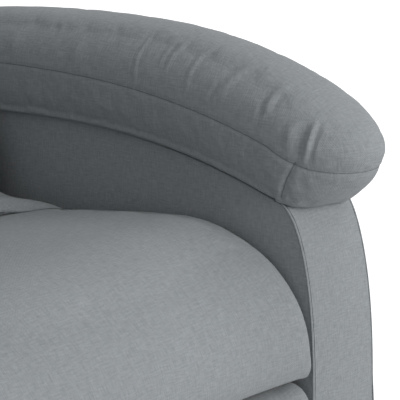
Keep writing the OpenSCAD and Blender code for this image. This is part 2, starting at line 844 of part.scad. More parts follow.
// Side plates of the mechanism: they carry the leg rest links and the back's hinge
module mechanism_plate(left) {
    color("#43474c") on(left) {
        side(plate_x, plate_x + plate_t) difference() {
            union() {
                bar(main_pivot, back_hinge - [0, 22], 14);
                bar(control_pivot, control_pivot + [60, -14], 14);
                bar(back_hinge, back_hinge - [70, 22], 18);
            }
            for (i = [0:5]) hole([main_pivot_y + 70 + i * 50, main_pivot_z + 4 + i * 1.6], 6);
        }
        link_pin(main_pivot, plate_x + plate_t, layer_2, true);
        link_pin(control_pivot, plate_x + plate_t, layer_4, true);
        pin(plate_x - link_gap - plate_t - 2.4, plate_x, back_hinge, lift_pin_r);
    }
}
module mechanism_plate_left() { mechanism_plate(true); }
module mechanism_plate_right() { mechanism_plate(false); }

// A link pin from x0 outwards through the link at the layer: with a thin head,
// or riveted flush where another link sweeps across it
module link_pin(p, x0, layer, head) {
    end = layer + link_t + (head ? pin_head_gap : 0);
    pin(x0, end, p, link_pin_r);
    if (head) pin(end, end + pin_head_t, p, link_pin_r * 1.7);
}

// The same inwards from x1
module link_pin_in(p, x1, layer, head) {
    end = layer - (head ? pin_head_gap : 0);
    pin(end, x1, p, link_pin_r);
    if (head) pin(end - pin_head_t, end, p, link_pin_r * 1.7);
}

// The cushion seen from the side: a round waterfall front, a crown and a fall
// to the rear
crown_y = -235;
crown_z = cushion_z + cushion_h;
roll_z = cushion_z + 15;
lip_drop = 6.5;      // of the front roll under the rest of the underside
seat_outline = concat(
    [for (a = [0:9:90])
        [crown_y - (cushion_front + crown_y) * cos(a), roll_z + (crown_z - roll_z) * sin(a)]],
    [for (k = [1:6])
        let (y = crown_y + (cushion_rear - crown_y - 8) * k / 6)
        [y, crown_z - 54 * pow((y - crown_y) / (cushion_rear - crown_y), 1.5)]],
    [[cushion_rear - 1, crown_z - 66], [cushion_rear, crown_z - 82], [cushion_rear, cushion_z + 12],
     [cushion_rear - 10, cushion_z]],
    [[seat_timber_front - 6, cushion_z], [seat_timber_front - 12, cushion_z - lip_drop / 2],
     [-cushion_front + 26, cushion_z - lip_drop], [-cushion_front + 12, cushion_z - lip_drop * 0.8],
     [-cushion_front + 4, cushion_z - lip_drop * 0.2]]);

module seat_cushion() {
    color("#7f8386")
        cushion(seat_outline, [crown_y, cushion_z], [cushion_front + crown_y, cushion_h],
                inner_x - 2, cushion_r, 6, [0, 0.02]);
}

// Back ----------------------------------------------------------------------

// Places its children in the back's own frame: y to the rear, z up its slope
module in_back() {
    translate([0, back_hinge.x, back_hinge.y])
        rotate([-back_lean, 0, 0])
            children();
}

frame_front = -back_frame_d / 2;
frame_rear = back_frame_d / 2;
frame_low = 42;
frame_high = back_h - 16;
back_stile_x = back_w / 2 - cover_t - timber_t;
wing_low = 445;

module back_stile(left) {
    color("#b98f5c") on(left) in_back()
        translate([back_stile_x, frame_front, frame_low])
            cube([timber_t, back_frame_d, frame_high - frame_low]);
}
module back_stile_left() { back_stile(true); }
module back_stile_right() { back_stile(false); }

// A timber rail between the stiles, from z up
back_rail_h = 60;
module back_rail(z) {
    color("#b98f5c") in_back()
        translate([-back_stile_x, frame_front, z])
            cube([2 * back_stile_x, timber_t, back_rail_h]);
}
module back_rail_top() { back_rail(frame_high - back_rail_h); }
module back_rail_bottom() { back_rail(frame_low + 20); }

// Steel arms from the hinge up the outside of the stiles
bracket_up = 196;
hinge_arm_r = 12;
module back_brackets() {
    x0 = back_w / 2 - cover_t;
    color("#33363a") both() in_back() side(x0, x0 + hinge_arm_t) difference() {
        bar([0, 0], [0, bracket_up - hinge_arm_r], hinge_arm_r);
        hole([0, 0], lift_pin_r + run_fit);
        for (k = [0.36, 0.66, 0.92]) hole([0, bracket_up * k], 3.5);
    }
}

// A pillow on the front of the back frame from its side outline, whose middle
// lies at z up the slope
module back_pillow(outline, z, root, reach, half_w, crown) {
    in_back() translate([0, frame_front - soft_fit, z])
        cushion(outline, root, reach, half_w, 40, 4, [crown, 0]);
}
// A pillow that only swells, from low to high
module plain_pillow(low, high, half_w, d, sag) {
    half_h = (high - low) / 2;
    back_pillow(pillow_outline(d, half_h, 2.5, sag, 16), (low + high) / 2, [0, 0], [d, half_h],
                half_w, 0.06);
}
lumbar_low = 110;
lumbar_high = 328;
middle_high = 522;

// Foot of the lumbar pillow, which reaches forward over the rear of the seat,
// from under the pillow to the crease over the foot
lumbar_foot = [[0, -96], [-20, -96.5], [-234, -125], [-242, -122.5], [-240, -117], [-227, -110],
               [-205, -102], [-172, -94], [-152, -86]];
lumbar_root = [-60, -110]; // its end edges are drawn in about this point
module lumbar_pillow() {
    half_h = (lumbar_high - lumbar_low) / 2;
    front = pillow_outline(lumbar_d, half_h, 2.5, 0.14, 16);
    color("#7f8386") back_pillow(concat(lumbar_foot, [for (i = [5:16]) front[i]]),
                                 (lumbar_low + lumbar_high) / 2, lumbar_root,
                                 [lumbar_d, 2 * half_h], back_w / 2 - 1, 0);
}
module middle_pillow() {
    color("#7f8386") plain_pillow(lumbar_high + 2, middle_high, back_w / 2 - 1, middle_d, 0.06);
}
module head_pillow() {
    color("#7f8386") plain_pillow(middle_high + 2, back_h, wing_w / 2 - 4, head_d, 0.02);
}

// The outside back seen from behind: narrow between the arms, wide above them
module back_face(wide, narrow, low, high) {
    r = 50;
    translate([-narrow, low]) square([2 * narrow, high - r - low]);
    translate([-wide + r, wing_low]) square([2 * (wide - r), high - wing_low]);
    translate([-wide, wing_low + r]) square([2 * wide, high - wing_low - 2 * r]);
    for (x = [-wide + r, wide - r]) for (z = [wing_low + r, high - r])
        translate([x, z]) circle(r = r);
}

// Outside back panel with a rim round the frame
module back_cover() {
    low = 10;
    high = back_h - 2;
    inside = back_w / 2 - cover_t;
    color("#7a7e81") in_back() {
        translate([0, frame_rear + back_panel_t, 0]) rotate([90, 0, 0])
            linear_extrude(back_panel_t) back_face(wing_w / 2, back_w / 2, low, high);
        translate([0, frame_rear, 0]) rotate([90, 0, 0])
            linear_extrude(back_frame_d) difference() {
                back_face(wing_w / 2, back_w / 2, bracket_up + low, high);
                translate([-inside, 0]) square([2 * inside, frame_high]);
            }
    }
}

// Leg rest linkage ----------------------------------------------------------

// A link in its layer between points of the side view
module link(layer, points, r) {
    side(layer, layer + link_t)
        for (i = [0:len(points) - 2]) bar(points[i], points[i + 1], r);
}

// A bore through the link in its layer
module link_bore(layer, p, r) {
    pin(layer - 1, layer + link_t + 1, p, r);
}

// Main links swing on the side plates
module main_links() {
    color("#50545a") both() {
        difference() {
            link(layer_2, [main_pivot, tail_pin], link_r);
            link_bore(layer_2, main_pivot, link_pin_r + run_fit);
        }
        link_pin(long_pin, layer_2 + link_t, layer_3, false);
        link_pin_in(tail_pin, layer_2, layer_1, true);
    }
}

// Long links cross the main links and carry the leg rest
module long_links() {
    color("#6a6f75") both() {
        difference() {
            link(layer_3, [control_pin, long_pin, rest_pin], link_r);
            link_bore(layer_3, long_pin, link_pin_r + run_fit);
        }
        link_pin_in(rest_pin, layer_3, layer_2, false);
        link_pin(control_pin, layer_3 + link_t, layer_4, false);
    }
}

// Control links steer the long links' short ends; their lower eye has play
module control_links() {
    color("#50545a") both() difference() {
        union() {
            link(layer_4, [control_pivot, control_eye], link_r);
            pin(layer_4, layer_4 + link_t, control_eye, link_pin_r + control_play + 4);
        }
        link_bore(layer_4, control_pivot, link_pin_r + run_fit);
        link_bore(layer_4, control_eye, link_pin_r + control_play);
    }
}

// Parallel links keep the leg rest square to the main links
module parallel_links() {
    color("#6a6f75") both() difference() {
        link(layer_1, [tail_pin, parallel_pin], link_r);
        link_bore(layer_1, tail_pin, link_pin_r + run_fit);
        link_bore(layer_1, parallel_pin, link_pin_r + slide_fit);
    }
}

// Angles between the links and the board
module leg_rest_brackets() {
    flange = 30;
    color("#33363a") both() {
        difference() {
            side(layer_2, layer_2 + link_t) {
                bar(rest_pin, parallel_pin, link_r);
                translate([-leg_board_y, parallel_pin.y - 4])
                    square([rest_pin.x + leg_board_y, rest_pin.y - parallel_pin.y - 12]);
            }
            link_bore(layer_2, rest_pin, link_pin_r + run_fit);
        }
        translate([layer_2 + link_t - flange, -leg_board_y, parallel_pin.y - 4])
            cube([flange, link_t, rest_pin.y - parallel_pin.y - 12]);
        link_pin_in(parallel_pin, layer_2, layer_1, true);
    }
}

leg_margin = 12;
module leg_rest_board() {
    color("#b98f5c")
        translate([-inner_x + 6, -leg_board_y - leg_board_t, leg_low_z + leg_margin])
            cube([2 * inner_x - 12, leg_board_t, leg_high_z - leg_low_z - 2 * leg_margin]);
}

module leg_rest_pad() {
    half_h = (leg_high_z - leg_low_z) / 2;
    color("#7f8386")
        translate([0, -leg_board_y - leg_board_t - soft_fit, leg_low_z + half_h])
            cushion(pillow_outline(leg_pad_t, half_h, 3.4, 0, 18), [0, 0], [leg_pad_t * 1.6, half_h],
                    inner_x - 3, 22, 4, [0, 0]);
}

// Handset -------------------------------------------------------------------

button_travel = 1.5;
button_r = 7.5;
button_out = 2;
button_deep = 4;
button_zs = [handset_z + handset_h * 0.78, handset_z + handset_h * 0.62];

module handset_shell() {
    edge = 10;
    front = -outer_x - holster_in + 0.5;
    color("#2b2d30") difference() {
        translate([front, handset_y, handset_z]) {
            translate([0, -handset_w / 2 + edge, 0.3])
                cube([handset_t, handset_w - 2 * edge, handset_h - 0.3]);
            translate([0, -handset_w / 2, 0.3 + edge])
                cube([handset_t, handset_w, handset_h - 0.3 - 2 * edge]);
            for (s = [-1, 1]) for (z = [0.3 + edge, handset_h - edge])
                translate([0, s * (handset_w / 2 - edge), z])
                    rotate([0, 90, 0]) cylinder(r = edge, h = handset_t);
        }
        for (z = button_zs)
            translate([front - 1, handset_y, z])
                rotate([0, 90, 0]) cylinder(r = button_r + 0.3, h = button_deep + button_travel + 1.2);
    }
}

// A push button in the handset's outer face
module button(z) {
    front = -outer_x - holster_in + 0.5;
    color("#b9bcbf") translate([front - button_out, handset_y, z]) rotate([0, 90, 0])
        cylinder(r = button_r, h = button_out + button_deep);
}
module button_up() { button(button_zs[0]); }
module button_down() { button(button_zs[1]); }

base_rail_left();
base_rail_right();
base_cross_front();
base_cross_rear();
base_end_caps();
base_feet();
lift_brackets();
actuator_clevis();
control_box();
front_lift_arm_left();
front_lift_arm_right();
torque_tube();
rear_lift_arm_left();
rear_lift_arm_right();
carriage_rail_left();
carriage_rail_right();
carriage_cross_front();
carriage_cross_rear();
carriage_brackets();
glide_tracks();
arm_brackets();
arm_body_left();
arm_body_right();
arm_pad_left();
arm_pad_right();
rear_valance();
handset_holster();
actuator_housing();
actuator_tube();
actuator_rod();
seat_rail_left();
seat_rail_right();
seat_rail_front();
seat_rail_rear();
seat_springs();
seat_runners();
mechanism_plate_left();
mechanism_plate_right();
seat_cushion();
back_stile_left();
back_stile_right();
back_rail_top();
back_rail_bottom();
back_brackets();
lumbar_pillow();
middle_pillow();
head_pillow();
back_cover();
main_links();
long_links();
control_links();
parallel_links();
leg_rest_board();
leg_rest_pad();
leg_rest_brackets();
handset_shell();
button_up();
button_down();
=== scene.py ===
"""Lift recliner chair: upholstery, finishes, light and camera."""

import math

import bmesh
import bpy
import numpy as np
from mathutils import Matrix, Vector
from mathutils.bvhtree import BVHTree
from mathutils.kdtree import KDTree


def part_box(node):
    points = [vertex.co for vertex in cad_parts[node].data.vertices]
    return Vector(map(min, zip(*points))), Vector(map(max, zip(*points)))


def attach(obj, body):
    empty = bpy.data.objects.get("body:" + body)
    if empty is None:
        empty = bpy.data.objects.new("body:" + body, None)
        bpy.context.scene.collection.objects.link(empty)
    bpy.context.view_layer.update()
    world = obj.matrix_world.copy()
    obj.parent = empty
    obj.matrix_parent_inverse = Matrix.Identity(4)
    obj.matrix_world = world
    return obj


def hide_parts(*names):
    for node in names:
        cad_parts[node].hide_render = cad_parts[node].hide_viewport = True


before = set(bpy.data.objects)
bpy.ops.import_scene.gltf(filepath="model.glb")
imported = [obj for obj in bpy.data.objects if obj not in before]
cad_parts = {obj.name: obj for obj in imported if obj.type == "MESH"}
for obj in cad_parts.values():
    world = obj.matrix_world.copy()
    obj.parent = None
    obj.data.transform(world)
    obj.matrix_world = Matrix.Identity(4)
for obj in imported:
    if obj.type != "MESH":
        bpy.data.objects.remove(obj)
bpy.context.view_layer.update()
scene = bpy.context.scene

MM = 0.001
INNER_X, OUTER_X = (corner.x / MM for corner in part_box("arm_body_left"))
PAD_X = (INNER_X + OUTER_X) / 2


# Camera ---------------------------------------------------------------------

def set_camera():
    """Looks down on the sitter's left arm from in front of the seat."""
    turn, tilt = math.radians(52), math.radians(14)
    forward = Vector((math.sin(turn) * math.cos(tilt), math.cos(turn) * math.cos(tilt), -math.sin(tilt)))
    data = bpy.data.cameras.new("Camera")
    data.sensor_width = 36
    data.lens = 243.9
    data.clip_end = 60
    camera = bpy.data.objects.new("Camera", data)
    camera.location = (INNER_X * MM - 2.486, -2.182, 1.292)
    camera.rotation_euler = forward.to_track_quat("-Z", "Y").to_euler()
    scene.collection.objects.link(camera)
    scene.camera = camera


# Shader parts ---------------------------------------------------------------

def feed(tree, node, inputs):
    """Gives a node its inputs, each a value or a link."""
    for key, value in inputs.items():
        if isinstance(value, bpy.types.NodeSocket):
            tree.links.new(value, node.inputs[key])
        else:
            node.inputs[key].default_value = value


def put(tree, kind, inputs=None, **props):
    """Adds a node with its settings and inputs."""
    made = tree.nodes.new("ShaderNode" + kind)
    for name, value in props.items():
        setattr(made, name, value)
    feed(tree, made, inputs or {})
    return made


def calc(tree, operation, *values):
    """Adds a math node: what it gives."""
    return put(tree, "Math", dict(enumerate(values)), operation=operation).outputs[0]


def scaled(tree, vector, factors):
    """A vector times another."""
    return put(tree, "VectorMath", {0: vector, 1: factors}, operation="MULTIPLY").outputs[0]


def noise(tree, vector, scale, detail=2.0, roughness=0.5):
    return put(tree, "TexNoise", {"Vector": vector, "Scale": scale, "Detail": detail,
                                  "Roughness": roughness}).outputs["Fac"]


def choose(tree, mask, off, on):
    """off where the mask is 0, on where it is 1."""
    return put(tree, "Mix", {0: mask, 2: off, 3: on}, data_type="FLOAT").outputs[0]


def tint(tree, mask, off, on):
    """The same for colours."""
    return put(tree, "Mix", {0: mask, 6: off, 7: on}, data_type="RGBA").outputs[2]


def spread(tree, value, low, high, to_low=0.0, to_high=1.0):
    """Maps low..high to to_low..to_high, clamped."""
    return put(tree, "MapRange", {0: value, 1: low, 2: high, 3: to_low, 4: to_high}).outputs[0]


def group(name, inputs, outputs):
    """A node group with its sockets: (tree, the values given to it, the values it gives)."""
    tree = bpy.data.node_groups.new(name, "ShaderNodeTree")
    for label, kind, value in inputs:
        tree.interface.new_socket(label, in_out="INPUT",
                                  socket_type="NodeSocket" + kind).default_value = value
    for label, kind in outputs:
        tree.interface.new_socket(label, in_out="OUTPUT", socket_type="NodeSocket" + kind)
    given = tree.nodes.new("NodeGroupInput").outputs
    gives = tree.nodes.new("NodeGroupOutput").inputs
    return tree, given, gives


def woven_cloth():
    """Plain weave with slubbed yarns, laid over a piece from its nearest axis."""
    tree, given, gives = group(
        "Woven cloth",
        [("Colour", "Color", (0.24, 0.26, 0.27, 1)), ("Fleck", "Color", (0.3, 0.3, 0.3, 1)),
         ("Pitch", "Float", 0.0012), ("Slub", "Float", 0.3)],
        [("Colour", "Color"), ("Height", "Float"), ("Roughness", "Float")])
    place = put(tree, "TexCoord").outputs
    x, y, z = put(tree, "SeparateXYZ", {0: place["Object"]}).outputs
    nx, ny, nz = (calc(tree, "ABSOLUTE", s)
                  for s in put(tree, "SeparateXYZ", {0: place["Normal"]}).outputs)
    sideways = calc(tree, "GREATER_THAN", nx, calc(tree, "MAXIMUM", ny, nz))
    upward = calc(tree, "GREATER_THAN", nz, calc(tree, "MAXIMUM", nx, ny))
    warp = choose(tree, sideways, x, y)
    weft = choose(tree, upward, z, y)
    turn = calc(tree, "DIVIDE", math.pi, given["Pitch"])
    weave = calc(tree, "MULTIPLY",
                 calc(tree, "SINE", calc(tree, "MULTIPLY", warp, turn)),
                 calc(tree, "SINE", calc(tree, "MULTIPLY", weft, turn)))
    lie = put(tree, "CombineXYZ", {0: warp, 1: weft}).outputs[0]
    slubs = calc(tree, "SUBTRACT",
                 calc(tree, "ADD",
                      noise(tree, scaled(tree, lie, (75, 560, 1)), 1, 2, 0.6),
                      noise(tree, scaled(tree, lie, (560, 75, 1)), 1, 2, 0.6)), 1)
    shade = calc(tree, "ADD", 1, calc(tree, "ADD",
                 calc(tree, "MULTIPLY", slubs, calc(tree, "MULTIPLY", given["Slub"], 2)),
                 calc(tree, "MULTIPLY", weave, 0.05)))
    dyed = calc(tree, "MULTIPLY", shade,
                spread(tree, noise(tree, place["Object"], 4, 2), 0.3, 0.7, 0.97, 1.03))
    plain = put(tree, "VectorMath", {0: given["Colour"], "Scale": dyed}, operation="SCALE").outputs[0]
    flecks = spread(tree, noise(tree, place["Object"], 260, 1), 0.55, 0.75, 0, 0.35)
    tree.links.new(tint(tree, flecks, plain, given["Fleck"]), gives["Colour"])
    tree.links.new(calc(tree, "ADD", calc(tree, "MULTIPLY", weave, 0.3), slubs), gives["Height"])
    tree.links.new(spread(tree, slubs, -0.3, 0.3, 0.95, 0.78), gives["Roughness"])
    return tree


def handling_marks():
    """Scuffs and dull patches of a handled or rubbed hard surface."""
    tree, given, gives = group(
        "Handling marks",
        [("Amount", "Float", 0.5), ("Size", "Float", 1.0)],
        [("Scuff", "Float"), ("Dull", "Float"), ("Grit", "Float")])
    place = scaled(tree, put(tree, "TexCoord").outputs["Object"],
                   put(tree, "CombineXYZ", {i: given["Size"] for i in range(3)}).outputs[0])
    streaks = noise(tree, scaled(tree, place, (30, 160, 160)), 1, 4, 0.7)
    patches = noise(tree, place, 14, 3, 0.6)
    marks = calc(tree, "MULTIPLY", spread(tree, streaks, 0.58, 0.7), spread(tree, patches, 0.5, 0.62))
    tree.links.new(calc(tree, "MULTIPLY", marks, given["Amount"]), gives["Scuff"])
    tree.links.new(calc(tree, "MULTIPLY", spread(tree, patches, 0.35, 0.65), given["Amount"]),
                   gives["Dull"])
    tree.links.new(noise(tree, place, 900, 2), gives["Grit"])
    return tree


def timber_grain():
    """Softwood: rings and fibres along the direction that is stretched least."""
    tree, given, gives = group(
        "Timber grain",
        [("Place", "Vector", (0, 0, 0)), ("Early", "Color", (0.6, 0.4, 0.2, 1)),
         ("Late", "Color", (0.4, 0.23, 0.1, 1))],
        [("Colour", "Color"), ("Height", "Float"), ("Roughness", "Float")])
    rings = calc(tree, "FRACT", calc(tree, "MULTIPLY", noise(tree, given["Place"], 7, 2, 0.4), 9))
    fibres = noise(tree, scaled(tree, given["Place"], (30, 30, 30)), 3, 3, 0.7)
    dark = calc(tree, "MULTIPLY", spread(tree, rings, 0.1, 0.95, 0.1, 0.8),
                spread(tree, fibres, 0.2, 0.8, 0.6, 1))
    tree.links.new(tint(tree, dark, given["Early"], given["Late"]), gives["Colour"])
    tree.links.new(calc(tree, "ADD", fibres, calc(tree, "MULTIPLY", rings, 0.3)), gives["Height"])
    tree.links.new(spread(tree, fibres, 0.3, 0.7, 0.62, 0.8), gives["Roughness"])
    return tree


GROUPS = {"cloth": woven_cloth(), "marks": handling_marks(), "grain": timber_grain()}


def use(tree, name, inputs):
    """Adds a shared node group: the values it gives."""
    made = tree.nodes.new("ShaderNodeGroup")
    made.node_tree = GROUPS[name]
    feed(tree, made, inputs)
    return made.outputs


def material(name, **constants):
    """An empty material: (material, tree, its shader's inputs)."""
    made = bpy.data.materials.new(name)
    made.use_nodes = True
    shader = made.node_tree.nodes["Principled BSDF"]
    for label, value in constants.items():
        shader.inputs[label.replace("_", " ")].default_value = value
    return made, made.node_tree, shader.inputs


def relief(tree, inputs, height, distance, strength=1.0, under=None):
    """Bumps the shader's normal; gives the bumped normal for another layer."""
    bump = put(tree, "Bump", {"Height": height, "Distance": distance, "Strength": strength})
    if under is not None:
        tree.links.new(under, bump.inputs["Normal"])
    tree.links.new(bump.outputs[0], inputs["Normal"])
    return bump.outputs[0]


# Finishes -------------------------------------------------------------------

def upholstery_cloth(name, colour, pitch=0.0012, slub=0.25, rumple=0.003):
    made, tree, shader = material(name, Sheen_Weight=0.12, Sheen_Roughness=0.6,
                                  Specular_IOR_Level=0.25)
    cloth = use(tree, "cloth", {"Colour": (*colour, 1),
                                "Fleck": (colour[0] * 1.35, colour[1] * 1.22, colour[2] * 1.22, 1),
                                "Pitch": pitch, "Slub": slub})
    tree.links.new(cloth["Colour"], shader["Base Color"])
    tree.links.new(cloth["Roughness"], shader["Roughness"])
    place = put(tree, "TexCoord").outputs["Object"]
    soft = relief(tree, shader, noise(tree, place, 13, 2, 0.45), rumple, 0.6)
    relief(tree, shader, cloth["Height"], 0.0005, 0.55, soft)
    return made


def seam_shade_finish():
    """Painted shade: the dark line of the shadowed crease where a seam's thread draws the cloth in, a little
    mottled.
    """
    made, tree, shader = material("Seam thread", Specular_IOR_Level=0.15)
    place = put(tree, "TexCoord").outputs["Object"]
    mottle = noise(tree, place, 420, 2)
    # Painted shade: both colours are darker than the cloth and stand for the shadow in the seam's crease
    tree.links.new(tint(tree, spread(tree, mottle, 0.35, 0.65), (0.12, 0.129, 0.135, 1),
                        (0.17, 0.182, 0.19, 1)), shader["Base Color"])
    tree.links.new(spread(tree, mottle, 0.3, 0.7, 0.95, 0.8), shader["Roughness"])
    relief(tree, shader, mottle, 0.0004, 0.5)
    return made


def painted_steel(name, colour, roughness, grit=0.0002):
    made, tree, shader = material(name, Coat_Weight=0.15, Coat_Roughness=0.25)
    marks = use(tree, "marks", {"Amount": 0.7, "Size": 1.0})
    tree.links.new(tint(tree, marks["Scuff"], (*colour, 1), (0.32, 0.33, 0.34, 1)), shader["Base Color"])
    tree.links.new(calc(tree, "MULTIPLY", marks["Scuff"], 0.5), shader["Metallic"])
    tree.links.new(calc(tree, "ADD", roughness, calc(tree, "MULTIPLY", marks["Dull"], 0.22)),
                   shader["Roughness"])
    relief(tree, shader, marks["Grit"], grit, 0.3)
    return made


def bare_metal(name, colour, roughness, brushed=(30, 400, 400), depth=0.0001):
    made, tree, shader = material(name, Metallic=1.0)
    place = put(tree, "TexCoord").outputs["Object"]
    lines = noise(tree, scaled(tree, place, brushed), 1, 3, 0.6)
    marks = use(tree, "marks", {"Amount": 0.6, "Size": 1.5})
    tree.links.new(tint(tree, marks["Dull"], (*colour, 1), tuple(c * 0.72 for c in colour) + (1,)),
                   shader["Base Color"])
    tree.links.new(calc(tree, "ADD", roughness, calc(tree, "ADD",
                   calc(tree, "MULTIPLY", lines, 0.12), calc(tree, "MULTIPLY", marks["Scuff"], 0.2))),
                   shader["Roughness"])
    relief(tree, shader, lines, depth, 0.4)
    return made


def moulded_plastic(name, colour, roughness):
    made, tree, shader = material(name, Specular_IOR_Level=0.45)
    marks = use(tree, "marks", {"Amount": 0.4, "Size": 2.0})
    place = put(tree, "TexCoord").outputs["Object"]
    pebble = put(tree, "TexVoronoi", {"Vector": place, "Scale": 850}).outputs["Distance"]
    tree.links.new(tint(tree, marks["Scuff"], (*colour, 1), tuple(c * 2.2 + 0.05 for c in colour) + (1,)),
                   shader["Base Color"])
    tree.links.new(calc(tree, "ADD", roughness, calc(tree, "MULTIPLY", marks["Dull"], 0.2)),
                   shader["Roughness"])
    relief(tree, shader, pebble, 0.00025, 0.5)
    return made


def sawn_timber(name, stretch, lean=0.0):
    """Grain along the axis whose stretch is smallest; lean turns it about X."""
    made, tree, shader = material(name, Specular_IOR_Level=0.3)
    place = put(tree, "Mapping", {"Vector": put(tree, "TexCoord").outputs["Object"],
                                  "Rotation": (lean, 0, 0), "Scale": stretch}).outputs[0]
    grain = use(tree, "grain", {"Place": place, "Early": (0.56, 0.38, 0.2, 1),
                                "Late": (0.34, 0.19, 0.085, 1)})
    tree.links.new(grain["Colour"], shader["Base Color"])
    tree.links.new(grain["Roughness"], shader["Roughness"])
    relief(tree, shader, grain["Height"], 0.0004, 0.4)
    return made


GREY = (0.242, 0.257, 0.268)
FINISH = {
    "cloth": upholstery_cloth("Grey cloth", GREY),
    # seam: painted shade for the seams' creases, laid on thin tubes
    "seam": seam_shade_finish(),
    "base": painted_steel("Black base paint", (0.022, 0.023, 0.026), 0.38),
    "arms": painted_steel("Mechanism paint", (0.045, 0.049, 0.055), 0.42),
    "zinc": bare_metal("Zinc plated steel", (0.55, 0.56, 0.57), 0.32),
    "spring": bare_metal("Spring wire", (0.30, 0.31, 0.33), 0.36),
    "rod": bare_metal("Chromed rod", (0.78, 0.79, 0.80), 0.10),
    "tube": bare_metal("Drawn aluminium", (0.68, 0.69, 0.70), 0.30, (400, 30, 30)),
    "plastic": moulded_plastic("Black plastic", (0.022, 0.022, 0.024), 0.5),
    "rubber": moulded_plastic("Foot rubber", (0.012, 0.012, 0.012), 0.78),
    "button": moulded_plastic("Grey button", (0.42, 0.44, 0.46), 0.45),
    "timber_x": sawn_timber("Timber across", (1, 9, 9)),
    "timber_y": sawn_timber("Timber along", (9, 1, 9)),
    "timber_z": sawn_timber("Timber upright", (9, 9, 1), math.radians(18)),
}


# Mesh helpers ---------------------------------------------------------------

SHARP = 0.9  # radians between two faces that meet at an edge
SWELL_FRAMES = 20  # that a cloth simulation runs


def link(name, mesh):
    """An object in the scene that shows a mesh."""
    piece = bpy.data.objects.new(name, mesh)
    scene.collection.objects.link(piece)
    return piece


def piece_from(bm, name, finish):
    """A piece from a bmesh, smooth shaded."""
    mesh = bpy.data.meshes.new(name)
    for face in bm.faces:
        face.smooth = True
    bm.to_mesh(mesh)
    bm.free()
    mesh.materials.append(FINISH[finish])
    return link(name, mesh)


def bake(piece):
    """Applies a piece's modifiers to its mesh."""
    graph = bpy.context.evaluated_depsgraph_get()
    made = bpy.data.meshes.new_from_object(piece.evaluated_get(graph))
    old = piece.data
    piece.modifiers.clear()
    piece.data = made
    bpy.data.meshes.remove(old)
    made.name = piece.name
    return piece


def places(mesh):
    co = np.empty(len(mesh.vertices) * 3)
    mesh.vertices.foreach_get("co", co)
    return co.reshape(-1, 3)


def normals(mesh):
    no = np.empty(len(mesh.vertices) * 3)
    mesh.vertices.foreach_get("normal", no)
    return no.reshape(-1, 3)


def set_places(mesh, co):
    mesh.vertices.foreach_set("co", np.ascontiguousarray(co).ravel())
    mesh.update()


def merged_copy(node):
    """A bmesh of a CAD node with its loose triangles joined."""
    bm = bmesh.new()
    bm.from_mesh(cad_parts[node].data)
    bmesh.ops.remove_doubles(bm, verts=bm.verts, dist=2e-5)
    return bm


def clean_copy(node):
    """The same with its flat faces whole."""
    bm = merged_copy(node)
    bmesh.ops.dissolve_limit(bm, angle_limit=math.radians(0.5), verts=bm.verts, edges=bm.edges)
    return bm


def sharp_edges(bm):
    """The edges at which two faces meet at a sharp angle."""
    return [e for e in bm.edges if len(e.link_faces) == 2 and e.calc_face_angle() > SHARP]


def soften(bm, edges, radius, segments=3):
    """Rounds edges off."""
    bmesh.ops.bevel(bm, geom=edges, offset=radius, offset_type="OFFSET", segments=segments,
                    profile=0.5, affect="EDGES", material=-1, clamp_overlap=True)


def cut(bm, place, normal, dist=0.0):
    """Cuts a bmesh in a plane: the geometry on it."""
    return bmesh.ops.bisect_plane(bm, geom=bm.verts[:] + bm.edges[:] + bm.faces[:], dist=dist,
                                  plane_co=place, plane_no=normal)["geom_cut"]


def soft_body(node, name, voxel, smooth):
    """An evenly meshed, rounded copy of a soft CAD node."""
    piece = piece_from(merged_copy(node), name, "cloth")
    remesh = piece.modifiers.new("Remesh", "REMESH")
    remesh.mode = "VOXEL"
    remesh.voxel_size = voxel
    bake(piece)
    bm = bmesh.new()
    bm.from_mesh(piece.data)
    for _ in range(smooth):
        bmesh.ops.smooth_vert(bm, verts=bm.verts, factor=0.5, use_axis_x=True, use_axis_y=True,
                              use_axis_z=True)
    bmesh.ops.recalc_face_normals(bm, faces=bm.faces)
    for face in bm.faces:
        face.smooth = True
    bm.to_mesh(piece.data)
    bm.free()
    return piece


def near_line(co, line):
    """Each point's distance from a dense line of points, and how far along it that is."""
    tree = KDTree(len(line))
    for i, p in enumerate(line):
        tree.insert(p, i)
    tree.balance()
    found = np.array([tree.find(p)[1:] for p in co])
    return found[:, 1], found[:, 0] / (len(line) - 1)


def distance_to(co, line):
    return near_line(co, line)[0]


def inflate(piece, held, cap, slack, pressure=4.0):
    """Swells a piece with a cloth simulation. Held vertices stay; the others
    move outwards by at most the cap."""
    rest, no = places(piece.data), normals(piece.data)
    fixed = piece.vertex_groups.new(name="held")
    fixed.add([int(i) for i in np.nonzero(held)[0]], 1.0, "REPLACE")
    cloth = piece.modifiers.new("Cloth", "CLOTH")
    settings = cloth.settings
    settings.quality = 4
    settings.use_pressure = True
    settings.uniform_pressure_force = pressure
    settings.shrink_min = -slack
    settings.effector_weights.gravity = 0
    if held.any():
        settings.vertex_group_mass = "held"
    for f in range(1, SWELL_FRAMES + 1):
        scene.frame_set(f)
    graph = bpy.context.evaluated_depsgraph_get()
    swollen = places(piece.evaluated_get(graph).data)
    piece.modifiers.clear()
    piece.vertex_groups.clear()
    scene.frame_set(1)
    out = np.einsum("ij,ij->i", swollen - rest, no)
    out = np.where(out > 0, cap * np.tanh(out / cap), 0.001 * np.tanh(out / 0.004))
    set_places(piece.data, rest + no * out[:, None])
    return piece


def refine(piece):
    """Subdivides a piece once it has its form."""
    finer = piece.modifiers.new("Subdivision", "SUBSURF")
    finer.levels = finer.render_levels = 1
    bake(piece)
    for polygon in piece.data.polygons:
        polygon.use_smooth = True
    return piece


def dense(points, step=0.002):
    """A line through the points with a point every step."""
    out = []
    for a, b in zip(points, points[1:]):
        n = max(1, int((b - a).length / step))
        out += [a.lerp(b, i / n) for i in range(n)]
    return out + [points[-1]]


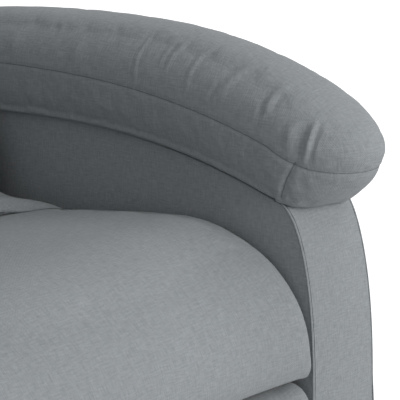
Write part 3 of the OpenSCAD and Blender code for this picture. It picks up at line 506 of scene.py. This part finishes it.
def limit_width(piece, side):
    """Presses a piece flat where it would pass a plane on either side."""
    co = places(piece.data)
    give = 0.006
    over = np.abs(co[:, 0]) - (side * MM - give)
    kept = side * MM - give * np.exp(-np.maximum(over, 0) / give)
    co[:, 0] = np.where(over > 0, np.sign(co[:, 0]) * kept, co[:, 0])
    set_places(piece.data, co)


def groove(piece, line, depth, width):
    """Draws a piece's surface in along a seam."""
    co, no = places(piece.data), normals(piece.data)
    d = distance_to(co, dense(line))
    set_places(piece.data, co - no * (depth * np.exp(-(d / width) ** 2))[:, None])


def on_surface(piece, points, lift=0.0):
    """The points moved onto a piece's surface."""
    tree = BVHTree.FromObject(piece, bpy.context.evaluated_depsgraph_get())
    out = []
    for p in points:
        spot, normal, _, _ = tree.find_nearest(p)
        out.append(spot + normal * lift)
    return out


def seam_line(name, points, radius, closed=False):
    """A thin tube through the points along a seam, which carries the seam's painted shade."""
    curve = bpy.data.curves.new(name, "CURVE")
    curve.dimensions = "3D"
    curve.bevel_depth = radius
    curve.bevel_resolution = 1
    curve.use_fill_caps = not closed
    spline = curve.splines.new("POLY")
    spline.points.add(len(points) - 1)
    for target, p in zip(spline.points, points):
        target.co = (*p, 1)
    spline.use_cyclic_u = closed
    drawn = link(name + "_curve", curve)
    mesh = bpy.data.meshes.new_from_object(
        drawn.evaluated_get(bpy.context.evaluated_depsgraph_get()))
    bpy.data.objects.remove(drawn)
    bpy.data.curves.remove(curve)
    mesh.name = name
    mesh.materials.clear()
    mesh.materials.append(FINISH["seam"])
    for polygon in mesh.polygons:
        polygon.use_smooth = True
    return link(name, mesh)


def loop_at(piece, x, step=3):
    """Points round a piece in the plane at x mm, from its lowest point."""
    bm = bmesh.new()
    bm.from_mesh(piece.data)
    outline = cut(bm, (x * MM, 0, 0), (1, 0, 0), dist=1e-7)
    left = {e for e in outline if isinstance(e, bmesh.types.BMEdge)}
    at = min((v for e in left for v in e.verts), key=lambda v: (v.co.z, v.co.y))
    ring = []
    while True:
        ring.append(at.co.copy())
        ways = [e for e in at.link_edges if e in left]
        if not ways:
            break
        edge = min(ways, key=lambda e: e.other_vert(at).co.y)
        left.remove(edge)
        at = edge.other_vert(at)
    bm.free()
    return ring[:-1:step]


def border_seams(piece, inset):
    """A drawn in seam round each end of a pillow, with a thin tube of painted shade along it."""
    side = np.abs(places(piece.data)[:, 0]).max() / MM - inset
    loops = [loop_at(piece, x) for x in (-side, side)]
    seams = []
    for label, loop in zip(("right", "left"), loops):
        groove(piece, loop + loop[:1], 0.0022, 0.0045)
        seams.append(seam_line("%s_seam_%s" % (piece.name, label), on_surface(piece, loop, 0.0001), 0.0005,
                               closed=True))
    return seams


def dress(piece, body, slot, *nodes, fill=None, seams=()):
    """Puts a piece on its body, hides the CAD nodes that it stands for and puts its seams on the same body.
    The slot is not used.
    """
    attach(piece, body)
    if nodes:
        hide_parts(*nodes)
    for seam in seams:
        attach(seam, body)
    return piece


def mirrored(piece, name):
    """The same piece on the other side of the chair."""
    mesh = piece.data.copy()
    mesh.name = name
    mesh.transform(Matrix.Scale(-1, 4, (1, 0, 0)))
    mesh.flip_normals()
    return link(name, mesh)


# Arm shapes in the side view, in mm -----------------------------------------

FRONT_Y, SHOULDER_Y, CREST_Y, REAR_Y = -416, -350, 10, 290  # of a panel
KNEE_Z, SHOULDER_Z, CREST_Z = 290, 522, 578
REAR_FALL = 20  # from the crest to the panel's rear
SHOULDER_D = 60
SHOULDER_ROUND = 2.2  # the exponent of its curve: 2 is an ellipse
SEAM_Z = 640  # the pad's side seam at its highest
PAD_HALF = 80
NOSE = 110  # from the shoulder to the tip of the pad
TAIL_Y, TAIL_R = 262, 28  # where the pad's rear end rounds off
PADDED_Z = 470, 250  # the outer face's padding grows from the first to the second


def padding(z):
    """How thick the cloth and padding of a panel's outer face are at a height."""
    high, low = PADDED_Z
    return 6 + 5 * min(max((high - z) / (high - low), 0), 1)


def crease_z(y):
    """Top edge of an arm panel behind its shoulder."""
    ahead = np.clip((CREST_Y - y) / (CREST_Y - SHOULDER_Y), 0, 1)
    behind = np.maximum(y - CREST_Y, 0) / (REAR_Y - CREST_Y)
    return CREST_Z - (CREST_Z - SHOULDER_Z) * ahead ** 2.2 - REAR_FALL * behind ** 2


def shoulder_z(y):
    """Top of an arm panel, over its crest or its round front shoulder."""
    bend = np.clip((SHOULDER_Y - y) / SHOULDER_D, 0, 1)
    front = KNEE_Z + (SHOULDER_Z - KNEE_Z) * (1 - bend ** SHOULDER_ROUND) ** (1 / SHOULDER_ROUND)
    return np.where(y < SHOULDER_Y, front, crease_z(y))


def seam_z(y):
    """Side seam of an arm pad."""
    return SEAM_Z - np.where(y < 0, 50 * np.abs(y / SHOULDER_Y) ** 2.3, 18 * (y / REAR_Y) ** 2)


def arm_front_edge(step=3):
    """Front face of an arm panel from the bottom to the shoulder, in (y, z)."""
    edge = [(FRONT_Y, 70), (FRONT_Y, 180)]
    for a in range(0, 91, step):
        ahead, up = math.cos(math.radians(a)), math.sin(math.radians(a))
        edge.append((SHOULDER_Y - SHOULDER_D * ahead ** (2 / SHOULDER_ROUND),
                     KNEE_Z + (SHOULDER_Z - KNEE_Z) * up ** (2 / SHOULDER_ROUND)))
    return edge


def pad_seam():
    """Seam round an arm pad: inner side, nose, outer side, tail."""
    side = []
    for i in range(41):
        y = TAIL_Y - (TAIL_Y - SHOULDER_Y) * i / 40
        side.append((-PAD_HALF, y, seam_z(y)))
    for a in range(6, 91, 4):
        reach = NOSE * math.sin(math.radians(a))
        fall = 29 * (1 - (1 - reach / NOSE) ** 2)
        side.append((-PAD_HALF * math.cos(math.radians(a)), SHOULDER_Y - reach, seam_z(SHOULDER_Y) - fall))
    around = side + [(-x, y, z) for x, y, z in reversed(side)]
    tail = [(PAD_HALF - TAIL_R * (1 - math.cos(math.radians(a))), TAIL_Y + TAIL_R * math.sin(math.radians(a)),
             seam_z(280)) for a in (20, 45, 70)]
    ring = np.array(around + tail + [(-x, y, z) for x, y, z in reversed(tail)]) + (PAD_X, 0, 0)
    ring[:, 1] += tuck(ring)
    return ring


def nose_reach(co):
    """0 at the shoulder, 1 at the tip of the nose. Points are in mm from here on."""
    return np.clip((SHOULDER_Y - co[:, 1]) / NOSE, 0, 1)


def nose_under(co):
    """0 above the bulge of the nose, 1 at its underside."""
    top = 616 - 34 * nose_reach(co)
    return np.clip((top - co[:, 2]) / (top - SHOULDER_Z), 0, 1)


def tuck(co):
    """How far the cloth of the nose is drawn back under its bulge."""
    return 66 * nose_under(co) ** 1.9 * nose_reach(co)


def solid_tuck(co):
    """The same for the solid that the pad is made from."""
    reach = nose_reach(co)
    under = 619 - 0.25 * NOSE * reach - co[:, 2]
    return 21 * np.sin(math.pi / 2 * np.clip(under / 42, 0, 1)) * reach ** 0.8


def hang(co):
    """How far the cloth hangs down: over the panel's front, and beside the panel."""
    x = co[:, 0] - PAD_X
    front = 18 - 8 * np.clip(-x / 57, 0, 1) ** 1.3 + 9 * np.clip((x - 10) / 45, 0, 1)
    front *= np.clip(nose_reach(co) / 0.1, 0, 1) * nose_under(co) ** 1.2
    lip = 7 * np.clip((co[:, 1] + 230) / 300, 0, 1) * np.clip((np.abs(x) - 50) / 15, 0, 1)
    return front + lip * np.clip((seam_z(co[:, 1]) - co[:, 2]) / 55, 0, 1)


def shape_nose(co):
    """Gives the nose of an arm pad its fuller bulge, and its sides their lip."""
    plain = co.copy()
    for _ in range(4):
        plain[:, 1] = co[:, 1] - solid_tuck(plain)
    out = plain.copy()
    out[:, 1] += tuck(plain)
    out[:, 2] -= hang(plain)
    return out


def over_panel(co):
    """Keeps a pad on top of its panel."""
    out = co.copy()
    above = (co[:, 0] > INNER_X - 0.5) & (co[:, 0] < OUTER_X + 0.5) & (co[:, 1] > SHOULDER_Y - SHOULDER_D)
    out[:, 2] = np.where(above, np.maximum(co[:, 2], shoulder_z(co[:, 1]) + 0.5), co[:, 2])
    return out


LEAN = math.radians(18)  # of the back


# Upholstery -----------------------------------------------------------------

def arm_pad():
    """The sitter's left arm pad, stuffed between its seams, and the tubes of painted shade along its seams.
    """
    pad = soft_body("arm_pad_left", "Arm_pad_left", 0.0046, 7)
    co, no = places(pad.data), normals(pad.data)
    resting = (no[:, 2] < -0.55) & (co[:, 1] > SHOULDER_Y * MM)
    inset = np.where(resting, 0.0, 0.0045)
    set_places(pad.data, over_panel(shape_nose((co - no * inset[:, None]) / MM)) * MM)
    loop = [Vector(p) * MM for p in pad_seam()]
    loop = on_surface(pad, dense(loop + loop[:1], 0.004))
    corners = []
    for side in (-1, 1):
        ends = [Vector((PAD_X + side * 67.5, -388, 575)), Vector((PAD_X + side * 70, -376, 552)),
                Vector((PAD_X + side * 62, -364, 529))]
        corners.append(on_surface(pad, dense([p * MM for p in ends], 0.003)))
    co = places(pad.data)
    held = resting | (distance_to(co, loop) < 0.004)
    for line in corners:
        held |= distance_to(co, line) < 0.0035
    inflate(pad, held, 0.005, 0.02, pressure=5.0)
    set_places(pad.data, over_panel(places(pad.data) / MM) * MM)
    refine(pad)
    gather(pad)
    groove(pad, on_surface(pad, loop), 0.0012, 0.003)
    for line in corners:
        groove(pad, on_surface(pad, line), 0.001, 0.003)
    seams = [seam_line("Arm_pad_seam_left", on_surface(pad, loop[:-1], 0.0001), 0.0004, closed=True)]
    seams += [seam_line("Arm_pad_corner_seam_%s" % label, on_surface(pad, line, 0.0001), 0.0004)
              for label, line in zip(("inner", "outer"), corners)]
    return pad, seams


# Gathers of the pad's top panel: points along each, in mm from the pad's
# middle, its width and its height
GATHERS = [
    ([(-77, -153, 622), (-76, -151, 653), (-69, -149, 672), (-54, -150, 687), (-26, -149, 699)], 2.8, 1.2),
    ([(-74, -196, 655), (-65, -195, 672), (-52, -198, 684), (-21, -206, 695)], 3.2, 1.1),
    ([(-71, -185, 663), (-62, -185, 677), (-35, -188, 694)], 3.2, 0.9),
    ([(-75, -227, 628), (-75, -229, 645), (-65, -230, 667), (-48, -233, 682), (-23, -241, 690)], 3.4, 1.1),
    ([(-76, -263, 628), (-74, -268, 645), (-66, -274, 660)], 3.2, -1.3),
    ([(-74, -278, 632), (-70, -284, 655), (-52, -292, 672), (-30, -300, 678)], 5.0, 1.2),
    ([(-73, -345, 630), (-61, -346, 646), (-47, -346, 655)], 4.5, 1.9),
    ([(-75, -334, 614), (-76, -338, 632), (-66, -338, 648)], 3.5, -1.4),
    ([(-71, -374, 590), (-72, -378, 604), (-66, -380, 622)], 5.0, 1.2),
    ([(-66, -388, 575), (-68, -392, 590), (-67, -394, 605), (-54, -394, 626)], 6.5, -2.2),
    ([(-63, -396, 571), (-65, -400, 588), (-66, -405, 604), (-50, -405, 630)], 3.6, 1.8),
    ([(-62, -403, 571), (-64, -407, 590), (-60, -409, 605), (-44, -410, 626)], 3.2, -1.4),
    ([(-78, -60, 645), (-74, -56, 668), (-56, -54, 688)], 9.0, 0.9),
    ([(-78, 40, 645), (-74, 46, 668), (-58, 52, 686)], 10.0, 1.0),
    ([(-78, 150, 640), (-74, 146, 664), (-52, 142, 688)], 9.0, 1.2),
]


def gather(pad):
    """Soft gathers that rise from the seam across the top panel, on both sides."""
    co, no = places(pad.data), normals(pad.data)
    shift = np.zeros(len(co))
    for points, width, height in GATHERS:
        for side, along, share in ((1, 0, 1), (-1, 13, 0.5)):
            line = dense([Vector((PAD_X + side * x, y + along, z)) * MM for x, y, z in points], 0.003)
            line = on_surface(pad, line)
            near = np.abs(co[:, 1] - line[0].y) < 0.06
            distance, t = near_line(co[near], line)
            across = distance / (width * MM)
            shift[near] += (share * height * MM * np.sin(math.pi * t) ** 0.8
                            * (np.exp(-across ** 2) - 0.35 * np.exp(-((across - 1.9) / 0.9) ** 2)))
    set_places(pad.data, co + no * shift[:, None])


def arm_panel():
    """The sitter's left arm panel with softened edges, and the tubes of painted shade along its seams."""
    bm = clean_copy("arm_body_left")
    rim = [e for e in bm.edges if len(e.link_faces) == 2
           and abs(e.link_faces[0].normal.x - e.link_faces[1].normal.x) > 0.8]
    soften(bm, rim, 0.0018)
    for z in PADDED_Z:
        cut(bm, (0, 0, z * MM), (0, 0, 1))
    for v in bm.verts:
        if v.co.x > PAD_X * MM:
            v.co.x += padding(v.co.z / MM) * MM
    panel = piece_from(bm, "Arm_panel_left", "cloth")
    edge = arm_front_edge()
    lines = []
    for label, x, back in (("inner", INNER_X + 0.1, 1.3), ("inner_top", INNER_X + 3.2, 0.0),
                           ("outer", OUTER_X - 3.2, 0.0), ("outer_side", OUTER_X - 0.1, 1.3)):
        path = []
        for i, (y, z) in enumerate(edge):
            ahead, behind = edge[min(i + 1, len(edge) - 1)], edge[max(i - 1, 0)]
            along = Vector((ahead[0] - behind[0], ahead[1] - behind[1])).normalized()
            out = padding(z) if x > PAD_X else 0
            path.append(Vector((x + out, y + along.y * back, z - along.x * back)) * MM)
        lines.append(seam_line("Arm_panel_seam_" + label, dense(path, 0.01), 0.0004))
    return panel, lines


def build_arms():
    pad, pad_seams = arm_pad()
    panel, panel_seams = arm_panel()
    for made, node, fill in ((pad, "arm_pad", 0.75), (panel, "arm_body", 0.95)):
        seams = pad_seams if made is pad else panel_seams
        twin = mirrored(made, made.name.replace("left", "right"))
        twins = [mirrored(s, s.name.replace("_left", "") + "_right") for s in seams]
        dress(made, "carriage", "grey_fabric", node + "_left", fill=fill, seams=seams)
        dress(twin, "carriage", "grey_fabric", node + "_right", fill=fill, seams=twins)


def in_back(x, y, z):
    """A point of the back's own frame, in mm, in the row frame."""
    return Vector((x, 183 + y * math.cos(LEAN) + z * math.sin(LEAN),
                   300 - y * math.sin(LEAN) + z * math.cos(LEAN))) * MM


def cushion(node, name, body, voxel, cap, fill, rest_on, inset=0.005, slack=0.01, smooth=3, width=293,
            shape=None, clear_of=None, border=None):
    """A stuffed piece from its CAD node. rest_on tells which vertices stay."""
    piece = soft_body(node, name, voxel, smooth)
    co, no = places(piece.data), normals(piece.data)
    held = rest_on(co, no)
    co -= no * np.where(held, 0, inset)[:, None]
    set_places(piece.data, shape(co / MM) * MM if shape else co)
    inflate(piece, held, cap, slack)
    refine(piece)
    limit_width(piece, width)
    if clear_of:
        keep_clear(piece, clear_of)
    dress(piece, body, "grey_fabric", node, fill=fill, seams=border_seams(piece, border) if border else ())
    return piece


def keep_clear(piece, other, gap=0.0006):
    """Lifts a piece out of another on which it lies."""
    tree = BVHTree.FromObject(other, bpy.context.evaluated_depsgraph_get())
    co = places(piece.data)
    for i in np.nonzero(co[:, 2] < 0.5)[0]:
        spot, normal, _, _ = tree.find_nearest(Vector(co[i]), 0.03)
        if spot is not None and (Vector(co[i]) - spot).dot(normal) < gap and normal.z > 0.3:
            co[i] = spot + normal * gap
    set_places(piece.data, co)


def squared(co, corners, radius, power=4):
    """Fills out rounded corners. Each is two planes that meet: axis, place, way out."""
    out = co.copy()
    for planes in corners:
        deep = [np.maximum(way * (out[:, axis] - place) + radius, 0) for axis, place, way in planes]
        reach = np.hypot(*deep) + 1e-9
        ratio = (deep[0] / reach) ** power + (deep[1] / reach) ** power
        full = np.where(ratio > 0, ratio, 1) ** (-1 / power)
        for (axis, _, way), depth in zip(planes, deep):
            out[:, axis] += way * depth * (full - 1)
    return out


def square_seat(co):
    """Fills out the seat cushion's side shoulders and its front corners."""
    out = co.copy()
    side = np.clip((np.abs(co[:, 0]) - 170) / 115, 0, 1) ** 1.4
    high = np.clip((co[:, 2] - 330) / 110, 0, 1)
    ahead = np.clip((-co[:, 1] - 300) / 90, 0, 1)
    out[:, 2] += (11 - 3 * np.clip((co[:, 1] + 260) / 120, 0, 1)) * side * high
    out[:, 1] -= (2 + 8 * side) * ahead
    lip = squared(out, [((0, way * 293, way), (2, 318, -1)) for way in (-1, 1)], 32)
    return out + (lip - out) * ahead[:, None]


def square_leg_pad(co):
    """Fills out the corners of the leg rest pad and brings its top under the seat's lip."""
    corners = []
    for side in (-1, 1):
        end = (0, side * 292, side)
        corners += [(end, (1, -418, -1)), (end, (2, 304, 1)), (end, (2, 88, -1))]
    out = squared(co, corners, 45)
    out[:, 2] += 5 * np.clip((co[:, 2] - 230) / 70, 0, 1)
    return out


def reach_foot(co):
    """Draws the foot of the lumbar pillow out over the seat."""
    back = (co[:, 1] - 183) * math.cos(LEAN) - (co[:, 2] - 300) * math.sin(LEAN)
    share = np.clip((-back - 150) / 85, 0, 1)
    side = np.clip((np.abs(co[:, 0]) - 190) / 62, 0, 1)
    side = side * side * (3 - 2 * side)
    out = co.copy()
    out[:, 0] *= 1 + 0.04 * share * side
    out[:, 1] += (34 - 69 * side) * share
    out[:, 2] -= 6.5 * side * share
    out[:, 2] -= 6 * side * np.clip(1 - np.abs(co[:, 1] - 40) / 60, 0, 1)
    return out


def build_cushions():
    seat = cushion("seat_cushion", "Seat_cushion", "seat", 0.007, 0.009, 0.8,
                   lambda co, no: no[:, 2] < -0.7, inset=0.0005, smooth=2, shape=square_seat)
    rear = np.array(in_back(0, 1, 0) - in_back(0, 0, 0)) / MM

    def behind(co, no):
        return no @ rear > 0.85

    cushion("lumbar_pillow", "Lumbar_pillow", "back", 0.0055, 0.011, 0.65, behind, inset=0.004, slack=0.02,
            smooth=2, width=271, shape=reach_foot, clear_of=seat)
    cushion("middle_pillow", "Middle_pillow", "back", 0.008, 0.012, 0.65, behind, slack=0.02, width=271,
            border=18)
    cushion("head_pillow", "Head_pillow", "back", 0.008, 0.012, 0.65, behind, slack=0.02, width=322,
            border=18)
    cushion("leg_rest_pad", "Leg_rest_pad", "leg_rest", 0.006, 0.008, 0.8,
            lambda co, no: no[:, 1] > 0.85, inset=0.003, shape=square_leg_pad)


def wrap(node, name, body, bare, opening=None):
    """Cloth drawn over a rail or board, without its bare sides. An opening
    leaves the rest of a side free beyond a turned edge."""
    low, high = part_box(node)
    bm = bmesh.new()
    bmesh.ops.create_cube(bm, size=1)
    bmesh.ops.scale(bm, vec=high - low + Vector((0.0024, 0.0024, 0.0024)), verts=bm.verts)
    bmesh.ops.translate(bm, vec=(low + high) / 2, verts=bm.verts)
    bare_faces = [f for f in bm.faces if any(f.normal.dot(Vector(side)) > 0.9 for side in bare)]
    bmesh.ops.delete(bm, geom=bare_faces, context="FACES_ONLY")
    if opening:
        faces = [f for f in bm.faces if f.normal.dot(Vector(opening)) > 0.9]
        bmesh.ops.inset_region(bm, faces=faces, thickness=0.03)
        bmesh.ops.delete(bm, geom=faces, context="FACES_ONLY")
    soften(bm, sharp_edges(bm), 0.0024)
    piece = piece_from(bm, name, "cloth")
    wall = piece.modifiers.new("Thickness", "SOLIDIFY")
    wall.thickness = 0.0009
    wall.offset = -1
    bake(piece)
    dress(piece, body, "grey_fabric")


def build_wraps():
    """Cloth over the timber that would show, and the lining behind the pillows."""
    front, rear, up = (0, -1, 0), (0, 1, 0), (0, 0, 1)
    wrap("leg_rest_board", "Leg_rest_board_wrap", "leg_rest", [front], rear)
    wrap("seat_rail_front", "Seat_front_wrap", "seat", [rear, up])
    wrap("seat_rail_rear", "Seat_rear_wrap", "seat", [front, up])
    bm = bmesh.new()
    bmesh.ops.create_cube(bm, size=1)
    bmesh.ops.scale(bm, vec=(0.538, 0.0003, 0.69), verts=bm.verts)
    bmesh.ops.rotate(bm, matrix=Matrix.Rotation(-LEAN, 3, "X"), verts=bm.verts)
    bmesh.ops.translate(bm, vec=in_back(0, -30.25, 392), verts=bm.verts)
    dress(piece_from(bm, "Back_lining", "cloth"), "back", "grey_fabric")


def build_covers():
    """The back's outside cover and the rear valance, cloth drawn over boards."""
    for node, name, body, radius in (("back_cover", "Back_cover", "back", 0.004),
                                     ("rear_valance", "Rear_valance", "carriage", 0.003)):
        bm = clean_copy(node)
        soften(bm, sharp_edges(bm), radius)
        dress(piece_from(bm, name, "cloth"), body, "grey_fabric", node)


# Hard parts -----------------------------------------------------------------

def build_handset():
    """The handset's shell with rounded edges, and a raised arrow on each button."""
    low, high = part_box("handset_shell")
    bm = clean_copy("handset_shell")
    rim = [e for e in sharp_edges(bm)
           if all(min(abs(v.co.x - low.x), abs(v.co.x - high.x)) < 1e-5 for v in e.verts)]
    soften(bm, rim, 0.0011)
    dress(piece_from(bm, "Handset_shell", "plastic"), "handset", "black_plastic", "handset_shell")
    for node, up in (("button_up", 1), ("button_down", -1)):
        low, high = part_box(node)
        bm = bmesh.new()
        bmesh.ops.create_cone(bm, cap_ends=True, segments=3, radius1=0.0042, radius2=0.0036, depth=0.0008)
        soften(bm, bm.edges[:], 0.00015, segments=2)
        stand = Matrix(((0, 0, -1), (-up, 0, 0), (0, up, 0))).to_4x4()
        bmesh.ops.transform(bm, matrix=stand, verts=bm.verts)
        middle = (low + high) / 2
        bmesh.ops.translate(bm, vec=(low.x, middle.y, middle.z), verts=bm.verts)
        bmesh.ops.recalc_face_normals(bm, faces=bm.faces)
        dress(piece_from(bm, node.capitalize() + "_arrow", "plastic"), node, "black_plastic")


NODE_FINISH = {
    "base": ("base_rail_left", "base_rail_right", "base_cross_front", "base_cross_rear"),
    "arms": ("main_links", "control_links", "lift_brackets", "actuator_clevis", "front_lift_arm_left",
             "front_lift_arm_right", "torque_tube", "rear_lift_arm_left", "rear_lift_arm_right",
             "carriage_rail_left", "carriage_rail_right", "carriage_cross_front", "carriage_cross_rear",
             "carriage_brackets", "arm_brackets", "back_brackets", "leg_rest_brackets",
             "mechanism_plate_left", "mechanism_plate_right"),
    "zinc": ("glide_tracks", "seat_runners", "long_links", "parallel_links"),
    "spring": ("seat_springs",),
    "rod": ("actuator_rod",),
    "tube": ("actuator_tube",),
    "plastic": ("base_end_caps", "control_box", "handset_holster", "actuator_housing"),
    "rubber": ("base_feet",),
    "button": ("button_up", "button_down"),
    "timber_y": ("seat_rail_left", "seat_rail_right"),
    "timber_x": ("seat_rail_front", "seat_rail_rear", "back_rail_top", "back_rail_bottom",
                 "leg_rest_board"),
    "timber_z": ("back_stile_left", "back_stile_right"),
}


def finish_nodes():
    """Gives each CAD node that shows its finish."""
    for finish, names in NODE_FINISH.items():
        for name in names:
            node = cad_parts[name]
            if not node.material_slots:
                node.data.materials.append(FINISH[finish])
            for held in node.material_slots:
                held.material = FINISH[finish]


# Studio ---------------------------------------------------------------------

def area_lamp(name, place, size, power):
    """A round lamp that points at the seat."""
    data = bpy.data.lights.new(name, "AREA")
    data.shape = "DISK"
    data.size = size
    data.energy = power
    lamp = bpy.data.objects.new(name, data)
    lamp.location = place
    lamp.rotation_euler = (Vector((0, 0, 0.5)) - Vector(place)).to_track_quat("-Z", "Y").to_euler()
    scene.collection.objects.link(lamp)


def set_studio():
    """White floor, soft light from the front and above, plain fill all round."""
    scene.view_settings.view_transform = "Standard"
    world = bpy.data.worlds.new("Studio")
    scene.world = world
    world.use_nodes = True
    tree = world.node_tree
    tree.nodes.clear()
    path = put(tree, "LightPath").outputs
    seen = calc(tree, "MAXIMUM", path["Is Camera Ray"],
                calc(tree, "MAXIMUM", path["Is Glossy Ray"], path["Is Transmission Ray"]))
    fill = put(tree, "Background", {"Color": (0.96, 0.99, 1.0, 1), "Strength": 0.52}).outputs[0]
    white = put(tree, "Background", {"Color": (1, 1, 1, 1), "Strength": 1.0}).outputs[0]
    mixed = put(tree, "MixShader", {0: seen, 1: fill, 2: white}).outputs[0]
    put(tree, "OutputWorld", {"Surface": mixed})

    bm = bmesh.new()
    bmesh.ops.create_grid(bm, x_segments=8, y_segments=8, size=12)
    mesh = bpy.data.meshes.new("Floor")
    bm.to_mesh(mesh)
    bm.free()
    floor_finish = bpy.data.materials.new("White floor")
    floor_finish.use_nodes = True
    tree = floor_finish.node_tree
    tree.nodes.clear()
    path = put(tree, "LightPath").outputs
    glow = calc(tree, "MULTIPLY", path["Is Camera Ray"], 0.85)
    lit = put(tree, "BsdfDiffuse", {"Color": (0.6, 0.6, 0.6, 1)}).outputs[0]
    own = put(tree, "Emission", {"Color": (1, 1, 1, 1), "Strength": glow}).outputs[0]
    put(tree, "OutputMaterial", {"Surface": put(tree, "AddShader", {0: lit, 1: own}).outputs[0]})
    mesh.materials.append(floor_finish)
    link("Floor", mesh)

    area_lamp("Key", (0.9, -4.8, 1.8), 2.6, 142)
    area_lamp("Top", (1.7, -0.9, 4.1), 3.0, 22)


set_camera()
set_studio()
finish_nodes()
build_arms()
build_cushions()
build_wraps()
build_covers()
build_handset()
